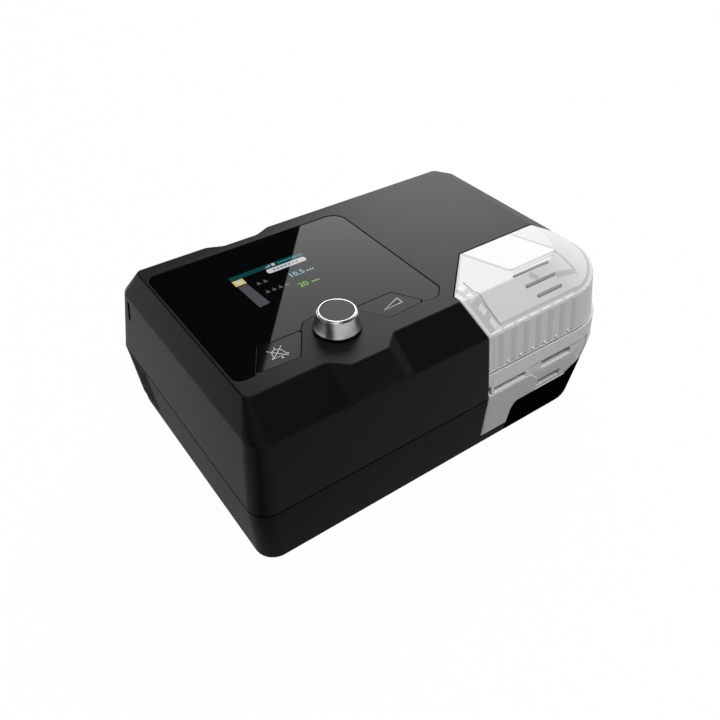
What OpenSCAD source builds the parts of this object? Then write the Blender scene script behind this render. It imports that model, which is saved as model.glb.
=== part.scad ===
// Desktop air-pressure therapy machine with a docked water chamber.
// Origin: centre of the casing's footprint, on the surface it stands on. +X runs along the long
// front towards the water chamber, +Y towards the back, +Z up. Millimetres.

/* [Casing] */
// Width over the seam
body_w = 265; // [262:0.5:268]
// Depth over the seam
body_d = 177.2; // [176:0.2:180]
// Height of the flat top
top_z = 103.5; // [103:0.1:104.5]
// Height of the belt edge under the front chamfer
belt_z = 86; // [85:0.5:87]
// Height of the same edge on the right side
shoulder_z = 91.7; // [90:0.1:93]
// Height of the seam between the casings
seam_z = 44.5; // [43:0.5:46]
// Wall of the casings
wall = 2.4; // [2:0.1:2.6]
// Upright corner radius at the left
corner_r = 11.5; // [10:0.5:14]
// Reach of the air outlet behind the casing
port_reach = 18; // [16:0.5:20]

/* [Water chamber] */
// Air gap between the chamber and the bay
bay_gap = 0.5; // [0.4:0.1:0.7]
// Wall of the chamber
tub_wall = 2.2; // [2:0.1:2.4]
// Height of the tub's rim
rim_z = 60.9; // [60:0.1:61.5]
// Lower edge of the lid
lid_z = 63.3; // [63:0.1:64]
// Top of the base tray under the chamber
tray_z = 7.3; // [7:0.1:7.5]
// Height of the dark grip block
grip_z = 26.8; // [25:0.1:28]
// Ribs along the lid's front
lid_ribs = 7; // [5:1:8]

/* [Controls] */
// Radius of the knob's flared skirt
knob_r = 12.6; // [12:0.1:13]
// Height of the knob's top face
knob_top = 114.8; // [114:0.1:116]
// Travel of the two keys
key_travel = 0.5; // [0.4:0.1:0.5]
// Travel of the knob's push switch
push_travel = 0.5; // [0.4:0.1:0.5]

/* [Airway] */
// Outside radius of the air outlet, a 22 mm connector
port_r = 11; // [10.9:0.1:11.1]
// Blades of the fan wheel
blades = 11; // [7:1:15]
// Slots of the filter cover
filter_slots = 6; // [4:1:6]

/* [Hidden] */
$fn = 48;
far = 200;                                 // beyond everything

// --- Outer form: four rings of points joined into one faceted, rounded body ---
half_w = body_w / 2;
front_y = -body_d / 2;
back_y = body_d / 2;
flare_y = 6.7;                             // the walls lean out from the belt to the seam
flare_left = 5.4;
flare_right = 7.1;
tuck_y = 5.9;                              // and draw in from the seam to the floor
tuck_left = 4.6;
tuck_right = 12;
chamfer_y = 17;                            // reach of the chamfers in plan
chamfer_left = 7;
chamfer_right = 22.2;
end_r = 40;                                // big round at the chamber's front corner
back_r = 12;
bump_x = [-75.4, -65.6, -42.9, -33.3];     // facets that bulge round the knob, top edge
bump_belt_x = [-71.5, -63.5, -37, -30.5];  // the same facets where they meet the belt
bump_y = 8.8;
notch_y = 4.4;
arc_n = 8;
foot_z = 0.8;                              // the feet hold the casing this far up
casing_gap = 0.3;                          // dark line at the seam

// One round corner: centre, radius, first angle, heights at its two ends
function corner(cx, cy, r, a0, z0, z1) = [for (i = [0:arc_n])
    let (a = i * 90 / arc_n)
    [cx + r * cos(a0 + a), cy + r * sin(a0 + a), z0 + (z1 - z0) * pow(sin(a), 2)]];

// One ring: limits, radii left / front right / back right, heights at the front and right
function ring(x0, x1, y0, y1, rl, rf, rb, zf, zr, bx, bump, notch) = concat(
    corner(x0 + rl, y0 + rl, rl, 180, zf, zf),
    [[bx[0], y0, zf], [bx[1], y0 - bump, zf], [bx[2], y0 - bump, zf], [bx[3], y0, zf]],
    corner(x1 - rf, y0 + rf, rf, 270, zf, zr),
    corner(x1 - rb, y1 - rb, rb, 0, zr, zf),
    [[bx[3], y1, zf], [bx[2], y1 - notch, zf], [bx[1], y1 - notch, zf], [bx[0], y1, zf]],
    corner(x0 + rl, y1 - rl, rl, 90, zf, zf));

// The rings of the outer form, drawn in by t on every side
function form_rings(t) = [
    ring(tuck_left - half_w + t, half_w - tuck_right - t, front_y + tuck_y + t,
        back_y - tuck_y - t, corner_r - t / 2, end_r - 2 - t, back_r - t / 2, t, t,
        bump_belt_x, 0, 0),
    ring(t - half_w, half_w - t, front_y + t, back_y - t,
        corner_r - t / 2, end_r - t, back_r - t / 2, seam_z, seam_z, bump_belt_x, 0, 0),
    ring(flare_left - half_w + t, half_w - flare_right - t, front_y + flare_y + t,
        back_y - flare_y - t, corner_r - t / 2, end_r - 6.5 - t, back_r - t / 2,
        belt_z - 0.4 * t, shoulder_z - 0.6 * t, bump_belt_x, 0, 0),
    ring(flare_left + chamfer_left - half_w + 0.7 * t,
        half_w - flare_right - chamfer_right - 0.25 * t,
        front_y + flare_y + chamfer_y + 0.4 * t, back_y - flare_y - chamfer_y - 0.4 * t,
        3.8, 31.3 - 0.3 * t, 4, top_z - t, top_z - t, bump_x, bump_y, notch_y)
];

// Skin a stack of rings that have the same number of points
module loft(rings) {
    n = len(rings[0]);
    m = len(rings);
    sides = [for (k = [0:m - 2], i = [0:n - 1])
        let (j = (i + 1) % n, a = k * n, b = k * n + n)
        each [[a + i, b + i, b + j], [a + i, b + j, a + j]]];
    low = [[for (i = [0:n - 1]) i]];
    high = [[for (i = [0:n - 1]) m * n - 1 - i]];
    polyhedron([for (r = rings) each r], concat(low, sides, high), convexity = 6);
}

module form(t = 0) {
    loft(form_rings(t));
}

// A box from its two corners
module block(a, b) {
    translate(a) cube(b - a);
}

// What lies between two heights
module between(z0, z1) {
    intersection() {
        children();
        block([-far, -far, z0], [far, far, z1]);
    }
}

// A flat plate with round corners, from its two corners
module plate(a, b, r) {
    translate([0, 0, a.z]) linear_extrude(b.z - a.z) {
        translate([a.x + r, a.y]) square([b.x - a.x - 2 * r, b.y - a.y]);
        translate([a.x, a.y + r]) square([b.x - a.x, b.y - a.y - 2 * r]);
        for (x = [a.x + r, b.x - r], y = [a.y + r, b.y - r]) translate([x, y]) circle(r);
    }
}

module post(p, r, z0, z1) {
    translate([p.x, p.y, z0]) cylinder(h = z1 - z0, r = r);
}

// A round bar along +Y that starts at p
module bar_y(p, r, length) {
    translate(p) rotate([-90, 0, 0]) cylinder(h = length, r = r);
}

module ring_y(p, ro, ri, length) {
    difference() {
        bar_y(p, ro, length);
        bar_y(p - [0, 1, 0], ri, length + 2);
    }
}

// A round bar from p to q
module rod(p, q, r) {
    d = q - p;
    translate(p) rotate([0, acos(d.z / norm(d)), atan2(d.y, d.x)]) cylinder(h = norm(d), r = r);
}

// Band of half width w along a path in a plane
function mitre(p, w) = [for (i = [0:len(p) - 1])
    let (a = unit(p[max(i, 1)] - p[max(i, 1) - 1]), k = min(i, len(p) - 2),
        b = unit(p[k + 1] - p[k]), m = [-a.y - b.y, a.x + b.x])
    p[i] + w * m / (1 + a * b)];
function band(p, w) = let (l = mitre(p, w), r = mitre(p, -w))
    concat(l, [for (i = [len(r) - 1:-1:0]) r[i]]);

// A flat-sided duct: path in the upright plane along Y, centred on x, w half as wide
module duct_y(path, x, w) {
    translate([x - w, 0, 0]) rotate([90, 0, 90]) linear_extrude(2 * w) polygon(band(path, w));
}

// Round every corner of an outline of [x, y, radius]
function unit(v) = v / norm(v);
function xy(p) = [p.x, p.y];
function rounded(p, n = 5) = [for (i = [0:len(p) - 1])
    let (b = xy(p[i]), u = unit(xy(p[(i + len(p) - 1) % len(p)]) - b),
        v = unit(xy(p[(i + 1) % len(p)]) - b), h = acos(u * v) / 2,
        c = b + unit(u + v) * p[i].z / sin(h), e = b + u * p[i].z / tan(h) - c,
        g = b + v * p[i].z / tan(h) - c, a = atan2(e.y, e.x),
        turn = (atan2(g.y, g.x) - a + 540) % 360 - 180)
    each [for (k = [0:n]) c + p[i].z * [cos(a + turn * k / n), sin(a + turn * k / n)]]];

// --- Bay that the chamber slides into, grown by g ---
bay_back = front_y + 60.8;
bay_left = 12.4;
bay_mouth = 20.1;
bay_lean = 3.1;                            // the left side leans right below the seam
diag = 0.41;                               // shift of a corner at the slanting side

function bay_ring(g, z, lean) = [
    [bay_mouth - g + lean, front_y + flare_y - 0.2 * g, z], [bay_mouth - g + lean, -far, z],
    [far, -far, z], [far, bay_back + g, z], [bay_left + 31.5 - diag * g, bay_back + g, z],
    [bay_left - g + lean, bay_back - 31 + diag * g, z],
    [bay_left - g + lean, front_y + 23.5 - 0.2 * g, z]];

module bay(g = 0) {
    loft([bay_ring(g, tray_z - g, bay_lean), bay_ring(g, seam_z, 0), bay_ring(g, far, 0)]);
}

// The chamber's share of the form, drawn in by t from the outside
module chamber_form(t = 0) {
    intersection() {
        form(t);
        bay(-bay_gap - t);
    }
}

// Corner of the base that belongs to the grip block, grown by g
grip_left = 44.4;
grip_back = -60;
grip_end_x = 112;
grip_end_y = -42;
module grip_zone(g = 0) {
    intersection() {
        translate([0, far, 0]) rotate([90, 0, 0]) linear_extrude(2 * far)
            polygon([[grip_left - g, -far], [grip_left + 1 - g, grip_z - 3.3],
                [grip_left + 3.5 - g, grip_z + g], [grip_left + 46.4, grip_z + g],
                [grip_left + 52, grip_z + 3.7 + g], [far, grip_z + 3.7 + g], [far, -far]]);
        union() {
            block([-far, -far, -far], [far, grip_back + g, far]);
            block([grip_end_x - g, -far, -far], [far, grip_end_y + g, far]);
        }
    }
}

// --- Airway positions ---
port_z = 78;                               // both ports in the bay's back wall
inlet_x = 54;
outlet_x = 98;
duct_r = 9;
duct_bore = 7.4;
outlet_z = 58.5;                             // connector at the back
outlet_path = [[bay_back + wall, port_z], [24, port_z], [50, outlet_z], [68, outlet_z]];
volute_c = [-58, 20];
volute_r = 34;
blow_y = volute_c.y + volute_r - 10;       // centre line of the fan's outlet
blow_z = 29;
duct_path = [[bay_back + wall, port_z], [-6, port_z], [blow_y - 16, blow_z], [blow_y + duct_r, blow_z]];

// --- Display deck ---
lens_top = top_z - 1.4;
lens_t = 1.3;
deck_top = lens_top - lens_t;
deck_low = deck_top - 2.2;
knob_at = [-54.7, -44.7];
slit = 0.3;                                // gap round the lens and the keys

lens_outline = [[-118.2, -53, 5], [-107.8, -53, 1.5], [-96, -34.4, 1.5], [-70.4, -34.4, 1.5],
    [-65.8, -29.5, 1.5], [-59.6, -28.5, 1], [-49.8, -28.5, 1], [-43.6, -29.5, 1.5],
    [-39, -34.4, 1.5], [-13.4, -34.4, 1.5], [-1.6, -53, 1.5], [7, -53, 2.5], [12.6, -47, 2.5],
    [12.6, 55.4, 9.5], [-118.2, 55.4, 6]];

// Key outline at the left; the right one is its mirror image about the knob
key_outline = [[-107.2, -52.6, 1.2], [-82.4, -53.4, 1.2], [-70.2, -35.6, 1.2],
    [-95.6, -35.4, 1.2]];
key_middle = [-88.9, -44.2];

// Outline set out by w all round, for points that go anticlockwise
function outset(p, w) = [for (i = [0:len(p) - 1])
    let (n = len(p), a = unit(xy(p[i]) - xy(p[(i + n - 1) % n])),
        b = unit(xy(p[(i + 1) % n]) - xy(p[i])), q = xy(p[i]) + w * [a.y + b.y, -a.x - b.x] / (1 + a * b))
    [q.x, q.y, p[i].z]];

// Turn a left-hand thing into its right-hand twin
module at_right() {
    translate([2 * knob_at.x, 0, 0]) mirror([1, 0, 0]) children();
}

module prism(p, z0, z1) {
    translate([0, 0, z0]) linear_extrude(z1 - z0) polygon(rounded(p));
}

lcd_a = [-85, -13, 89.6];
lcd_b = [-25, 34, deck_top - 0.2];
board_z = 88;
board_t = 1.6;
board_posts = [[-101, 38], [0, 38], [-101, -22], [0, -22]];

// --- Fixings ---
screws = [[-110, -66], [-2, -70], [-98, 74], [76, 75.5]];
screw_r = 1.5;
feet = [[-100, -62], [10, -70], [-100, 58], [100, 58], [0, 0]];
foot_r = 6.5;
floor_z = foot_z + wall;                   // inside floor of the lower casing

// --- Filter at the left wall ---
filter_a = [-far, 46.8, 5.4];
filter_b = [-121, 78, 43.4];

module upper_casing() color("dimgray") {
    difference() {
        union() {
            difference() {
                between(seam_z, far) form();
                difference() {
                    form(wall);
                    bay(wall);
                }
            }
            intersection() {
                between(seam_z, far) form(1);
                union() {
                    block([-121, -56, deck_low], [15, 58, top_z]);
                    for (p = screws) post(p, 4, seam_z, top_z);
                    for (p = board_posts) post(p, 3, board_z + board_t, top_z);
                    block([-far, 62.6, 66], [-106, 72.4, 69]);
                    bar_y([outlet_x, back_y - 16, outlet_z], port_r + 3.4, 20);
                }
            }
        }
        bay();
        prism(outset(lens_outline, slit), deck_top, far);
        block(lcd_a - [slit, slit, 10], lcd_b + [slit, slit, 10]);
        prism(outset(key_outline, slit), deck_low - 5, far);
        at_right() prism(outset(key_outline, slit), deck_low - 5, far);
        post(knob_at, 6, deck_low - 5, far);
        for (x = [inlet_x, outlet_x]) bar_y([x, bay_back - 5, port_z], duct_r + 0.4, 12);
        bar_y([outlet_x, 60, outlet_z], port_r + 1.5 + slit, 60);
        for (p = screws) post(p, screw_r, seam_z - 1, seam_z + 16);
        block([-far, 66, 71], [-120, 69, 83]);
    }
}

module lower_casing() color([0.16, 0.16, 0.17]) {
    difference() {
        union() {
            difference() {
                between(foot_z, seam_z - casing_gap) form();
                between(floor_z, far) form(wall);
            }
            intersection() {
                between(foot_z, seam_z - casing_gap) form(1);
                union() {
                    for (p = screws) post(p, 4.5, foot_z, seam_z - casing_gap);
                    for (x = [20, 92], y = [-14, 60]) post([x, y], 3, foot_z, 8);
                    for (x = [52, 104], y = [-54, -36]) post([x, y], 3, foot_z, 3.9);
                    block([grip_left - 2.4 - bay_gap, -far, foot_z],
                        [far, grip_back + 2.4 + bay_gap, tray_z]);
                }
            }
        }
        bay();
        grip_zone(bay_gap);
        for (p = screws) {
            post(p, screw_r + 0.2, -1, seam_z + 1);
            post(p, 3.2, -1, 6);
        }
        for (p = feet) post(p, foot_r, -1, foot_z + 1);
        block(filter_a, filter_b);
        bar_y([24, 78, 15], 4.5, 20);
    }
}

// Tray and walls that the chamber slides into, set inside the lower casing
module chamber_dock() color([0.16, 0.16, 0.17]) {
    difference() {
        intersection() {
            between(tray_z - wall, seam_z - casing_gap) bay(wall);
            form(wall);
        }
        bay();
        grip_zone(bay_gap);
        block([grip_left - 2.4 - bay_gap, -far, 0], [far, grip_back + 2.4 + bay_gap, tray_z + 1]);
        plate([47.6, -56.6, 0], [108.4, -33, 20], 5);
    }
}

module display_lens() color([0.02, 0.02, 0.02]) {
    prism(lens_outline, deck_top, lens_top);
}

module lcd_module() color("teal") {
    block(lcd_a, lcd_b);
}

module display_board() color("darkgreen") {
    difference() {
        block([-106, -56, board_z], [5, 43, board_z + board_t]);
        for (p = board_posts) post(p, 1.2, board_z - 1, board_z + 3);
    }
}

module key_switch() {
    block([key_middle.x - 3, key_middle.y - 3, board_z + board_t],
        [key_middle.x + 3, key_middle.y + 3, 93.4]);
    post(key_middle, 1.7, 93.4, 95.4 - key_travel);
}

module key_switches() color("gray") {
    key_switch();
    at_right() key_switch();
}

module key() {
    prism(key_outline, 97.4, lens_top);
    prism(outset(key_outline, 1.2), 96.6, 97.8);
    post(key_middle, 3, 95.5, 97);
}

module mute_key() color([0.06, 0.06, 0.06]) {
    key();
}

module ramp_key() color([0.06, 0.06, 0.06]) {
    at_right() key();
}

// --- Knob ---
shell_low = top_z + 0.9;
module knob_shell() color("silver") {
    translate(knob_at) rotate_extrude()
        polygon([[3, shell_low + 1.4], [6, shell_low + 1.4], [6, knob_top - 3.4],
            [knob_r - 3.6, knob_top - 3.4], [knob_r - 1.8, shell_low], [knob_r - 0.7, shell_low],
            [knob_r, shell_low + 1.2], [knob_r - 0.2, shell_low + 2.4],
            [knob_r - 1.2, shell_low + 5], [knob_r - 1.7, shell_low + 7.6],
            [knob_r - 1.8, knob_top - 0.4], [knob_r - 2.2, knob_top],
            [knob_r - 2.5, knob_top], [knob_r - 2.5, knob_top - 1.6], [3, knob_top - 1.6]]);
}

module knob_disc() color("dimgray") {
    post(knob_at, knob_r - 2.55, knob_top - 1.6, knob_top - 0.2);
}

module encoder_shaft() color("lightgray") {
    post(knob_at, 3, 91.4, knob_top - 1.6);
    post(knob_at, 4.2, 98.6, 99.8);
}

module push_collar() color("white") {
    difference() {
        post(knob_at, 5, 90.6 + push_travel, 98.6);
        post(knob_at, 3.05, 80, far);
    }
}

module encoder_housing() color([0.15, 0.15, 0.16]) {
    difference() {
        block([knob_at.x - 7, knob_at.y - 7, board_z + board_t],
            [knob_at.x + 7, knob_at.y + 7, 97.4]);
        post(knob_at, 5.05, 90.4, far);
    }
}

// --- Electronics in the base ---
module main_board() color("darkgreen") {
    block([12, -22, 8], [100, 70, 9.6]);
}

module board_parts() color([0.2, 0.2, 0.2]) {
    block([22, -10, 9.6], [42, 8, 24]);
    block([50, -16, 9.6], [66, -4, 18]);
    for (i = [0:5]) block([74 + 4 * i, 12, 9.6], [76 + 4 * i, 34, 26]);
    block([74, 12, 9.6], [96, 34, 12]);
    for (x = [74, 88]) post([x, 52], 5.5, 9.6, 28);
}

module alarm_sounder() color([0.05, 0.05, 0.05]) {
    difference() {
        post([84, -10], 6, 9.6, 17);
        post([84, -10], 1.2, 15, 18);
    }
}

module dc_socket() color([0.05, 0.05, 0.05]) {
    difference() {
        union() {
            block([19, 64, 9.6], [29, 81, 20.4]);
            bar_y([24, 80, 15], 4.2, 4);
        }
        bar_y([24, 74, 15], 2.75, 12);
    }
}

module card_reader() color("lightgray") {
    difference() {
        block([-124.4, 63.4, 69], [-107, 71.6, 85]);
        block([-130, 66.9, 71.3], [-109, 68.1, 82.7]);
    }
}

module memory_card() color("black") {
    block([-126.6, 67, 71.5], [-111.6, 68, 82.5]);
}

// --- Blower in its foam-lined silencer ---
box_a = [-114, -24, floor_z];
box_b = [-2, 64, 52];
module silencer_box() color("gainsboro") {
    difference() {
        plate(box_a, box_b, 5);
        plate(box_a + [2, 2, 2], box_b - [2, 2, -5], 4);
        block([-130, 48, 10], [-105, 60, 38]);
        rod([-20, blow_y, blow_z], [10, blow_y, blow_z], duct_r + 0.2);
    }
}

module silencer_cover() color("gainsboro") {
    plate([box_a.x, box_a.y, box_b.z], box_b + [0, 0, 2], 5);
}

module silencer_foam() color([0.25, 0.25, 0.27]) {
    difference() {
        plate(box_a + [2, 2, 2], box_b - [2, 2, 0], 4);
        plate(box_a + [9, 9, 8], box_b - [9, 9, -5], 3);
        block([-130, 48, 10], [-100, 60, 38]);
        rod([-20, blow_y, blow_z], [10, blow_y, blow_z], duct_r + 0.2);
    }
}

module blower_mounts() color([0.1, 0.1, 0.1]) {
    for (a = [30, 150, 270]) post(volute_c + 24 * [cos(a), sin(a)], 4, floor_z + 8, 14);
}

module volute_shape(g) {
    post(volute_c, volute_r - g, 14 + g, 46 - g);
    rod([volute_c.x, blow_y, blow_z], [4 + 5 * g, blow_y, blow_z], duct_r - g);
}

module volute_lower() color("whitesmoke") {
    difference() {
        between(0, blow_z) volute_shape(0);
        volute_shape(1.6);
    }
}

module volute_upper() color("whitesmoke") {
    difference() {
        between(blow_z, 60) volute_shape(0);
        volute_shape(1.6);
        post(volute_c, 13, 40, 50);
    }
}

module fan_wheel() color("white") {
    difference() {
        union() {
            post(volute_c, 28, 31, 32.4);
            post(volute_c, 7, 31, 38);
            for (i = [0:blades - 1]) translate(volute_c) rotate(i * 360 / blades)
                translate([10, 2, 32]) rotate(-28) cube([18, 1.2, 9]);
        }
        post(volute_c, 1.5, 20, 60);
    }
}

module fan_shaft() color("silver") {
    post(volute_c, 1.5, 18, 38);
}

module blower_motor() color([0.3, 0.3, 0.32]) {
    difference() {
        post(volute_c, 16, 15.6, 30);
        post(volute_c, 1.55, 17, 40);
    }
}

module delivery_duct() color("lightgray") {
    difference() {
        union() {
            duct_y(duct_path, inlet_x, duct_r);
            rod([4, blow_y, blow_z], [inlet_x, blow_y, blow_z], duct_r);
        }
        duct_y([duct_path[0] - [5, 0], duct_path[1], duct_path[2], duct_path[3] - [1.6, 0]],
            inlet_x, duct_bore);
        rod([0, blow_y, blow_z], [inlet_x, blow_y, blow_z], duct_bore);
    }
}

module inlet_seal() color([0.75, 0.77, 0.8]) {
    ring_y([inlet_x, bay_back - 0.3, port_z], duct_r + 0.4, duct_bore, wall + 0.3);
}

module outlet_tube() color([0.08, 0.08, 0.08]) {
    difference() {
        union() {
            duct_y(outlet_path, outlet_x, port_r);
            bar_y([outlet_x, 66, outlet_z], port_r + 1.5, back_y - 66);
            bar_y([outlet_x, 66, outlet_z], port_r, back_y + port_reach - 66);
        }
        duct_y([outlet_path[0] - [5, 0], outlet_path[1], outlet_path[2], outlet_path[3] - [1.6, 0]],
            outlet_x, port_r - 2);
        bar_y([outlet_x, 60, outlet_z], port_r - 2, far);
    }
}

module outlet_seal() color([0.75, 0.77, 0.8]) {
    ring_y([outlet_x, bay_back - 0.3, port_z], duct_r + 0.4, duct_bore, wall + 0.3);
}

// The left wall's outer 2 mm in the filter's window
module cover_slab() {
    lean = tuck_left / seam_z;
    lo = filter_a.z + slit;
    hi = filter_b.z - slit;
    x0 = tuck_left - half_w + 2;
    translate([0, filter_b.y - slit, 0]) rotate([90, 0, 0])
        linear_extrude(filter_b.y - filter_a.y - 2 * slit)
            polygon([[-far, lo], [x0 - lean * lo, lo], [x0 - lean * hi, hi], [-far, hi]]);
}

module filter_cover() color([0.2, 0.2, 0.2]) {
    pitch = 24 / filter_slots;
    difference() {
        intersection() {
            form();
            cover_slab();
        }
        for (i = [0:filter_slots - 1]) block([-far, 51 + i * pitch, 8],
            [-100, 51 + i * pitch + pitch / 2, 41]);
    }
}

module air_filter() color("white") {
    block([-125, 49, 8], [-118, 74, 41]);
}

// --- Heater under the chamber ---
module heater_plate() color("silver") {
    plate([48, -56.2, 5.3], [108, -33.4, 7.5], 5);
}

module heater_element() color("goldenrod") {
    plate([49, -55.2, 3.9], [107, -34.4, 5.3], 5);
}

// --- Water chamber ---
tub_low = tray_z + bay_gap;
slots = [[24.6, 50, 47, 50.7, -84.5], [64.3, 89.2, 46.2, 50.7, -80], [63.4, 84.4, 30, 35.4, -82]];
hinge = [half_w - 2, -38, (rim_z + lid_z) / 2];
knuckle_r = 2;

module slot_cut(s, g) {
    block([s[0] - g, -far, s[2] - g], [s[1] + g, s[4] + g, s[3] + g]);
}

// Pieces of the hinge barrel: the lid's is in the middle
module knuckle(y0, y1, r) {
    bar_y([hinge.x, hinge.y + y0, hinge.z], r, y1 - y0);
}

module tub_knuckles(r, g) {
    knuckle(-9 - g, -4.3 + g, r);
    knuckle(4.3 - g, 9 + g, r);
}

module chamber_tub() color([0.85, 0.88, 0.92, 0.6]) {
    difference() {
        union() {
            difference() {
                between(tub_low, rim_z) chamber_form();
                difference() {
                    between(tub_low + tub_wall, far) chamber_form(tub_wall);
                    grip_zone(tub_wall);
                    for (s = slots) slot_cut(s, 2);
                }
            }
            tub_knuckles(knuckle_r, 0);
        }
        grip_zone();
        for (s = slots) slot_cut(s, 0);
        difference() {
            form();
            form(1);
            translate([0, far, 0]) rotate([90, 0, 0]) linear_extrude(2 * far)
                polygon([[-far, -far], [far, -far], [far, 27], [64, 27], [64, 32], [62.6, 38.4],
                    [53.4, 47.3], [53.4, 52], [far, 52], [far, far], [-far, far]]);
        }
        knuckle(-4.3, 4.3, knuckle_r + 0.3);
        tub_knuckles(0.8, 1);
        plate([52, -53.4, 0], [104, -36, tub_low + 5], 4);
        plate([50.4, -55, 0], [105.6, -34.4, tub_low + 1], 5);
    }
}

module chamber_base_plate() color("silver") {
    plate([50.4, -55, tub_low], [105.6, -34.4, tub_low + 1], 5);
    plate([52, -53.4, tub_low], [104, -36, tub_low + 2], 4);
}

module chamber_grip() color([0.02, 0.02, 0.02]) {
    difference() {
        intersection() {
            between(foot_z, far) form();
            grip_zone();
            bay_outside();
        }
        difference() {
            intersection() {
                between(foot_z, grip_z - 2.4) form(2.4);
                block([-far, -far, -far], [far, grip_back - 2.4, far]);
            }
            block([-far, -far, -far], [grip_left + 3.4, far, far]);
            for (x = [66, 88]) block([x, -far, -far], [x + 2, far, far]);
        }
    }
}

module bay_outside() {
    block([bay_mouth, -far, -far], [far, bay_back - bay_gap, far]);
}

module chamber_seal() color([0.8, 0.82, 0.85]) {
    difference() {
        between(rim_z, lid_z) chamber_form(1.2);
        between(rim_z - 1, lid_z + 1) chamber_form(4);
        tub_knuckles(knuckle_r, 0.3);
        knuckle(-4.3, 4.3, knuckle_r + 0.3);
    }
}

bars = [[52.8, 81, -64], [57.7, 81.7, -70], [62.9, 82.8, -75.4]];
rib_pitch = 9.85;

module chamber_lid() color([0.9, 0.93, 0.96, 0.5]) {
    difference() {
        union() {
            difference() {
                union() {
                    between(lid_z, far) chamber_form();
                    intersection() {
                        form(-0.7);
                        union() {
                            for (i = [0:lid_ribs - 1]) block([28.9 + i * rib_pitch, -far, lid_z],
                                [30.1 + i * rib_pitch, -80, belt_z + 1]);
                            for (b = bars) block([b[0], b[2] - 0.9, belt_z],
                                [b[1], b[2] + 0.9, far]);
                        }
                    }
                }
                between(0, far) chamber_form(tub_wall);
            }
            knuckle(-4, 4, knuckle_r);
            block([hinge.x - 4, hinge.y - 4, lid_z], [hinge.x - 0.4, hinge.y + 4, lid_z + 1.6]);
        }
        tub_knuckles(knuckle_r + 0.3, 0.3);
        knuckle(-9, 9, 0.85);
        for (x = [inlet_x, outlet_x]) bar_y([x, bay_back - 6, port_z], 7, 8);
    }
}

duct_outline = [[45.4, bay_back - 2.8], [57, -57.9], [93.7, -55.7], [84.5, bay_back - 2.8]];
module lid_duct() color([0.9, 0.93, 0.96, 0.5]) {
    low = lid_z + 1;
    difference() {
        translate([0, 0, low]) linear_extrude(top_z - tub_wall - low) polygon(duct_outline);
        translate([0, 0, low + 1.6]) linear_extrude(far)
            polygon([[47.4, bay_back], [58.4, -56], [91.4, -54.2], [83, bay_back]]);
        post([80, -46], 6, 0, far);
    }
}

// Windowed strip under the lid's left edge, from the flat top down the chamfer
strip_outline = [[26.5, -50.5], [24.9, -50.5], [15.6, -59.9], [15.6, -65], [23.4, -79.6], [30, -79.6],
    [26.2, -66]];
strip_windows = [[21, -56], [21.2, -63.6], [24.4, -71.2], [27.2, -77.4]];
module lid_strip() color([0.9, 0.93, 0.96, 0.5]) {
    difference() {
        intersection() {
            form(tub_wall);
            translate([0, 0, 80]) linear_extrude(far) polygon(strip_outline);
        }
        form(tub_wall + 1.4);
        for (w = strip_windows) plate([w.x - 1.6, w.y - 2.4, 0], [w.x + 1.6, w.y + 2.4, far], 1);
    }
}

module lid_hinge_pin() color("silver") {
    knuckle(-9, 9, 0.8);
}

module rubber_feet() color([0.1, 0.1, 0.1]) {
    for (p = feet) post(p, foot_r, 0, foot_z + 1);
}

module casing_screws() color("silver") {
    for (p = screws) {
        difference() {
            post(p, 2.9, 4, 6);
            post(p, 1.2, 3, 5);
        }
        post(p, screw_r, 6, seam_z + 14);
    }
}

upper_casing();
lower_casing();
chamber_dock();
display_lens();
lcd_module();
display_board();
key_switches();
mute_key();
ramp_key();
knob_shell();
knob_disc();
encoder_shaft();
push_collar();
encoder_housing();
main_board();
board_parts();
alarm_sounder();
dc_socket();
card_reader();
memory_card();
silencer_box();
silencer_cover();
silencer_foam();
blower_mounts();
volute_lower();
volute_upper();
fan_wheel();
fan_shaft();
blower_motor();
delivery_duct();
inlet_seal();
outlet_tube();
outlet_seal();
filter_cover();
air_filter();
heater_plate();
heater_element();
chamber_tub();
chamber_base_plate();
chamber_grip();
chamber_seal();
chamber_lid();
lid_duct();
lid_strip();
lid_hinge_pin();
rubber_feet();
casing_screws();
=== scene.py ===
"""Looks of a desktop air-pressure therapy machine with a docked water chamber.

Lengths are in millimetres until a solid becomes a piece, which is in metres in the frame's own
axes: X along the front towards the water chamber, Y to the back, Z up.
"""
import logging
import math
from collections.abc import Iterable, Sequence
from dataclasses import dataclass, field, replace
from enum import Enum
from typing import Any

import bmesh
import bpy
from mathutils import Matrix, Vector
from mathutils.bvhtree import BVHTree


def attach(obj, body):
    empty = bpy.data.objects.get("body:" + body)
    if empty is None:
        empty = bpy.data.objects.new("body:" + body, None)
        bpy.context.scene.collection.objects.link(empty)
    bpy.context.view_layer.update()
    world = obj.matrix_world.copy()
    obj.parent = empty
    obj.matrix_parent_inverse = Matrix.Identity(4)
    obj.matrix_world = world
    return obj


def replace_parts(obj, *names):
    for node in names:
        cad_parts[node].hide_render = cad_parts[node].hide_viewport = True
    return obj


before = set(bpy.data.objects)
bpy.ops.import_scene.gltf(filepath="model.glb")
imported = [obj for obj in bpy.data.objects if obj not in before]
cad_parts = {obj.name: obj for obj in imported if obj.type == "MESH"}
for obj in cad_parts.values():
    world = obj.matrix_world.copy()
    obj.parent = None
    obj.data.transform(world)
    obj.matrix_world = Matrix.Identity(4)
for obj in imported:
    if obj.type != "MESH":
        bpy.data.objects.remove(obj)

LOG = logging.getLogger("machine")
MM = 0.001
FAR = 200.0
Corner = tuple[float, float, float]
Flat = tuple[float, float]


# --- Colours and nodes ---------------------------------------------------------------------------

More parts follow.
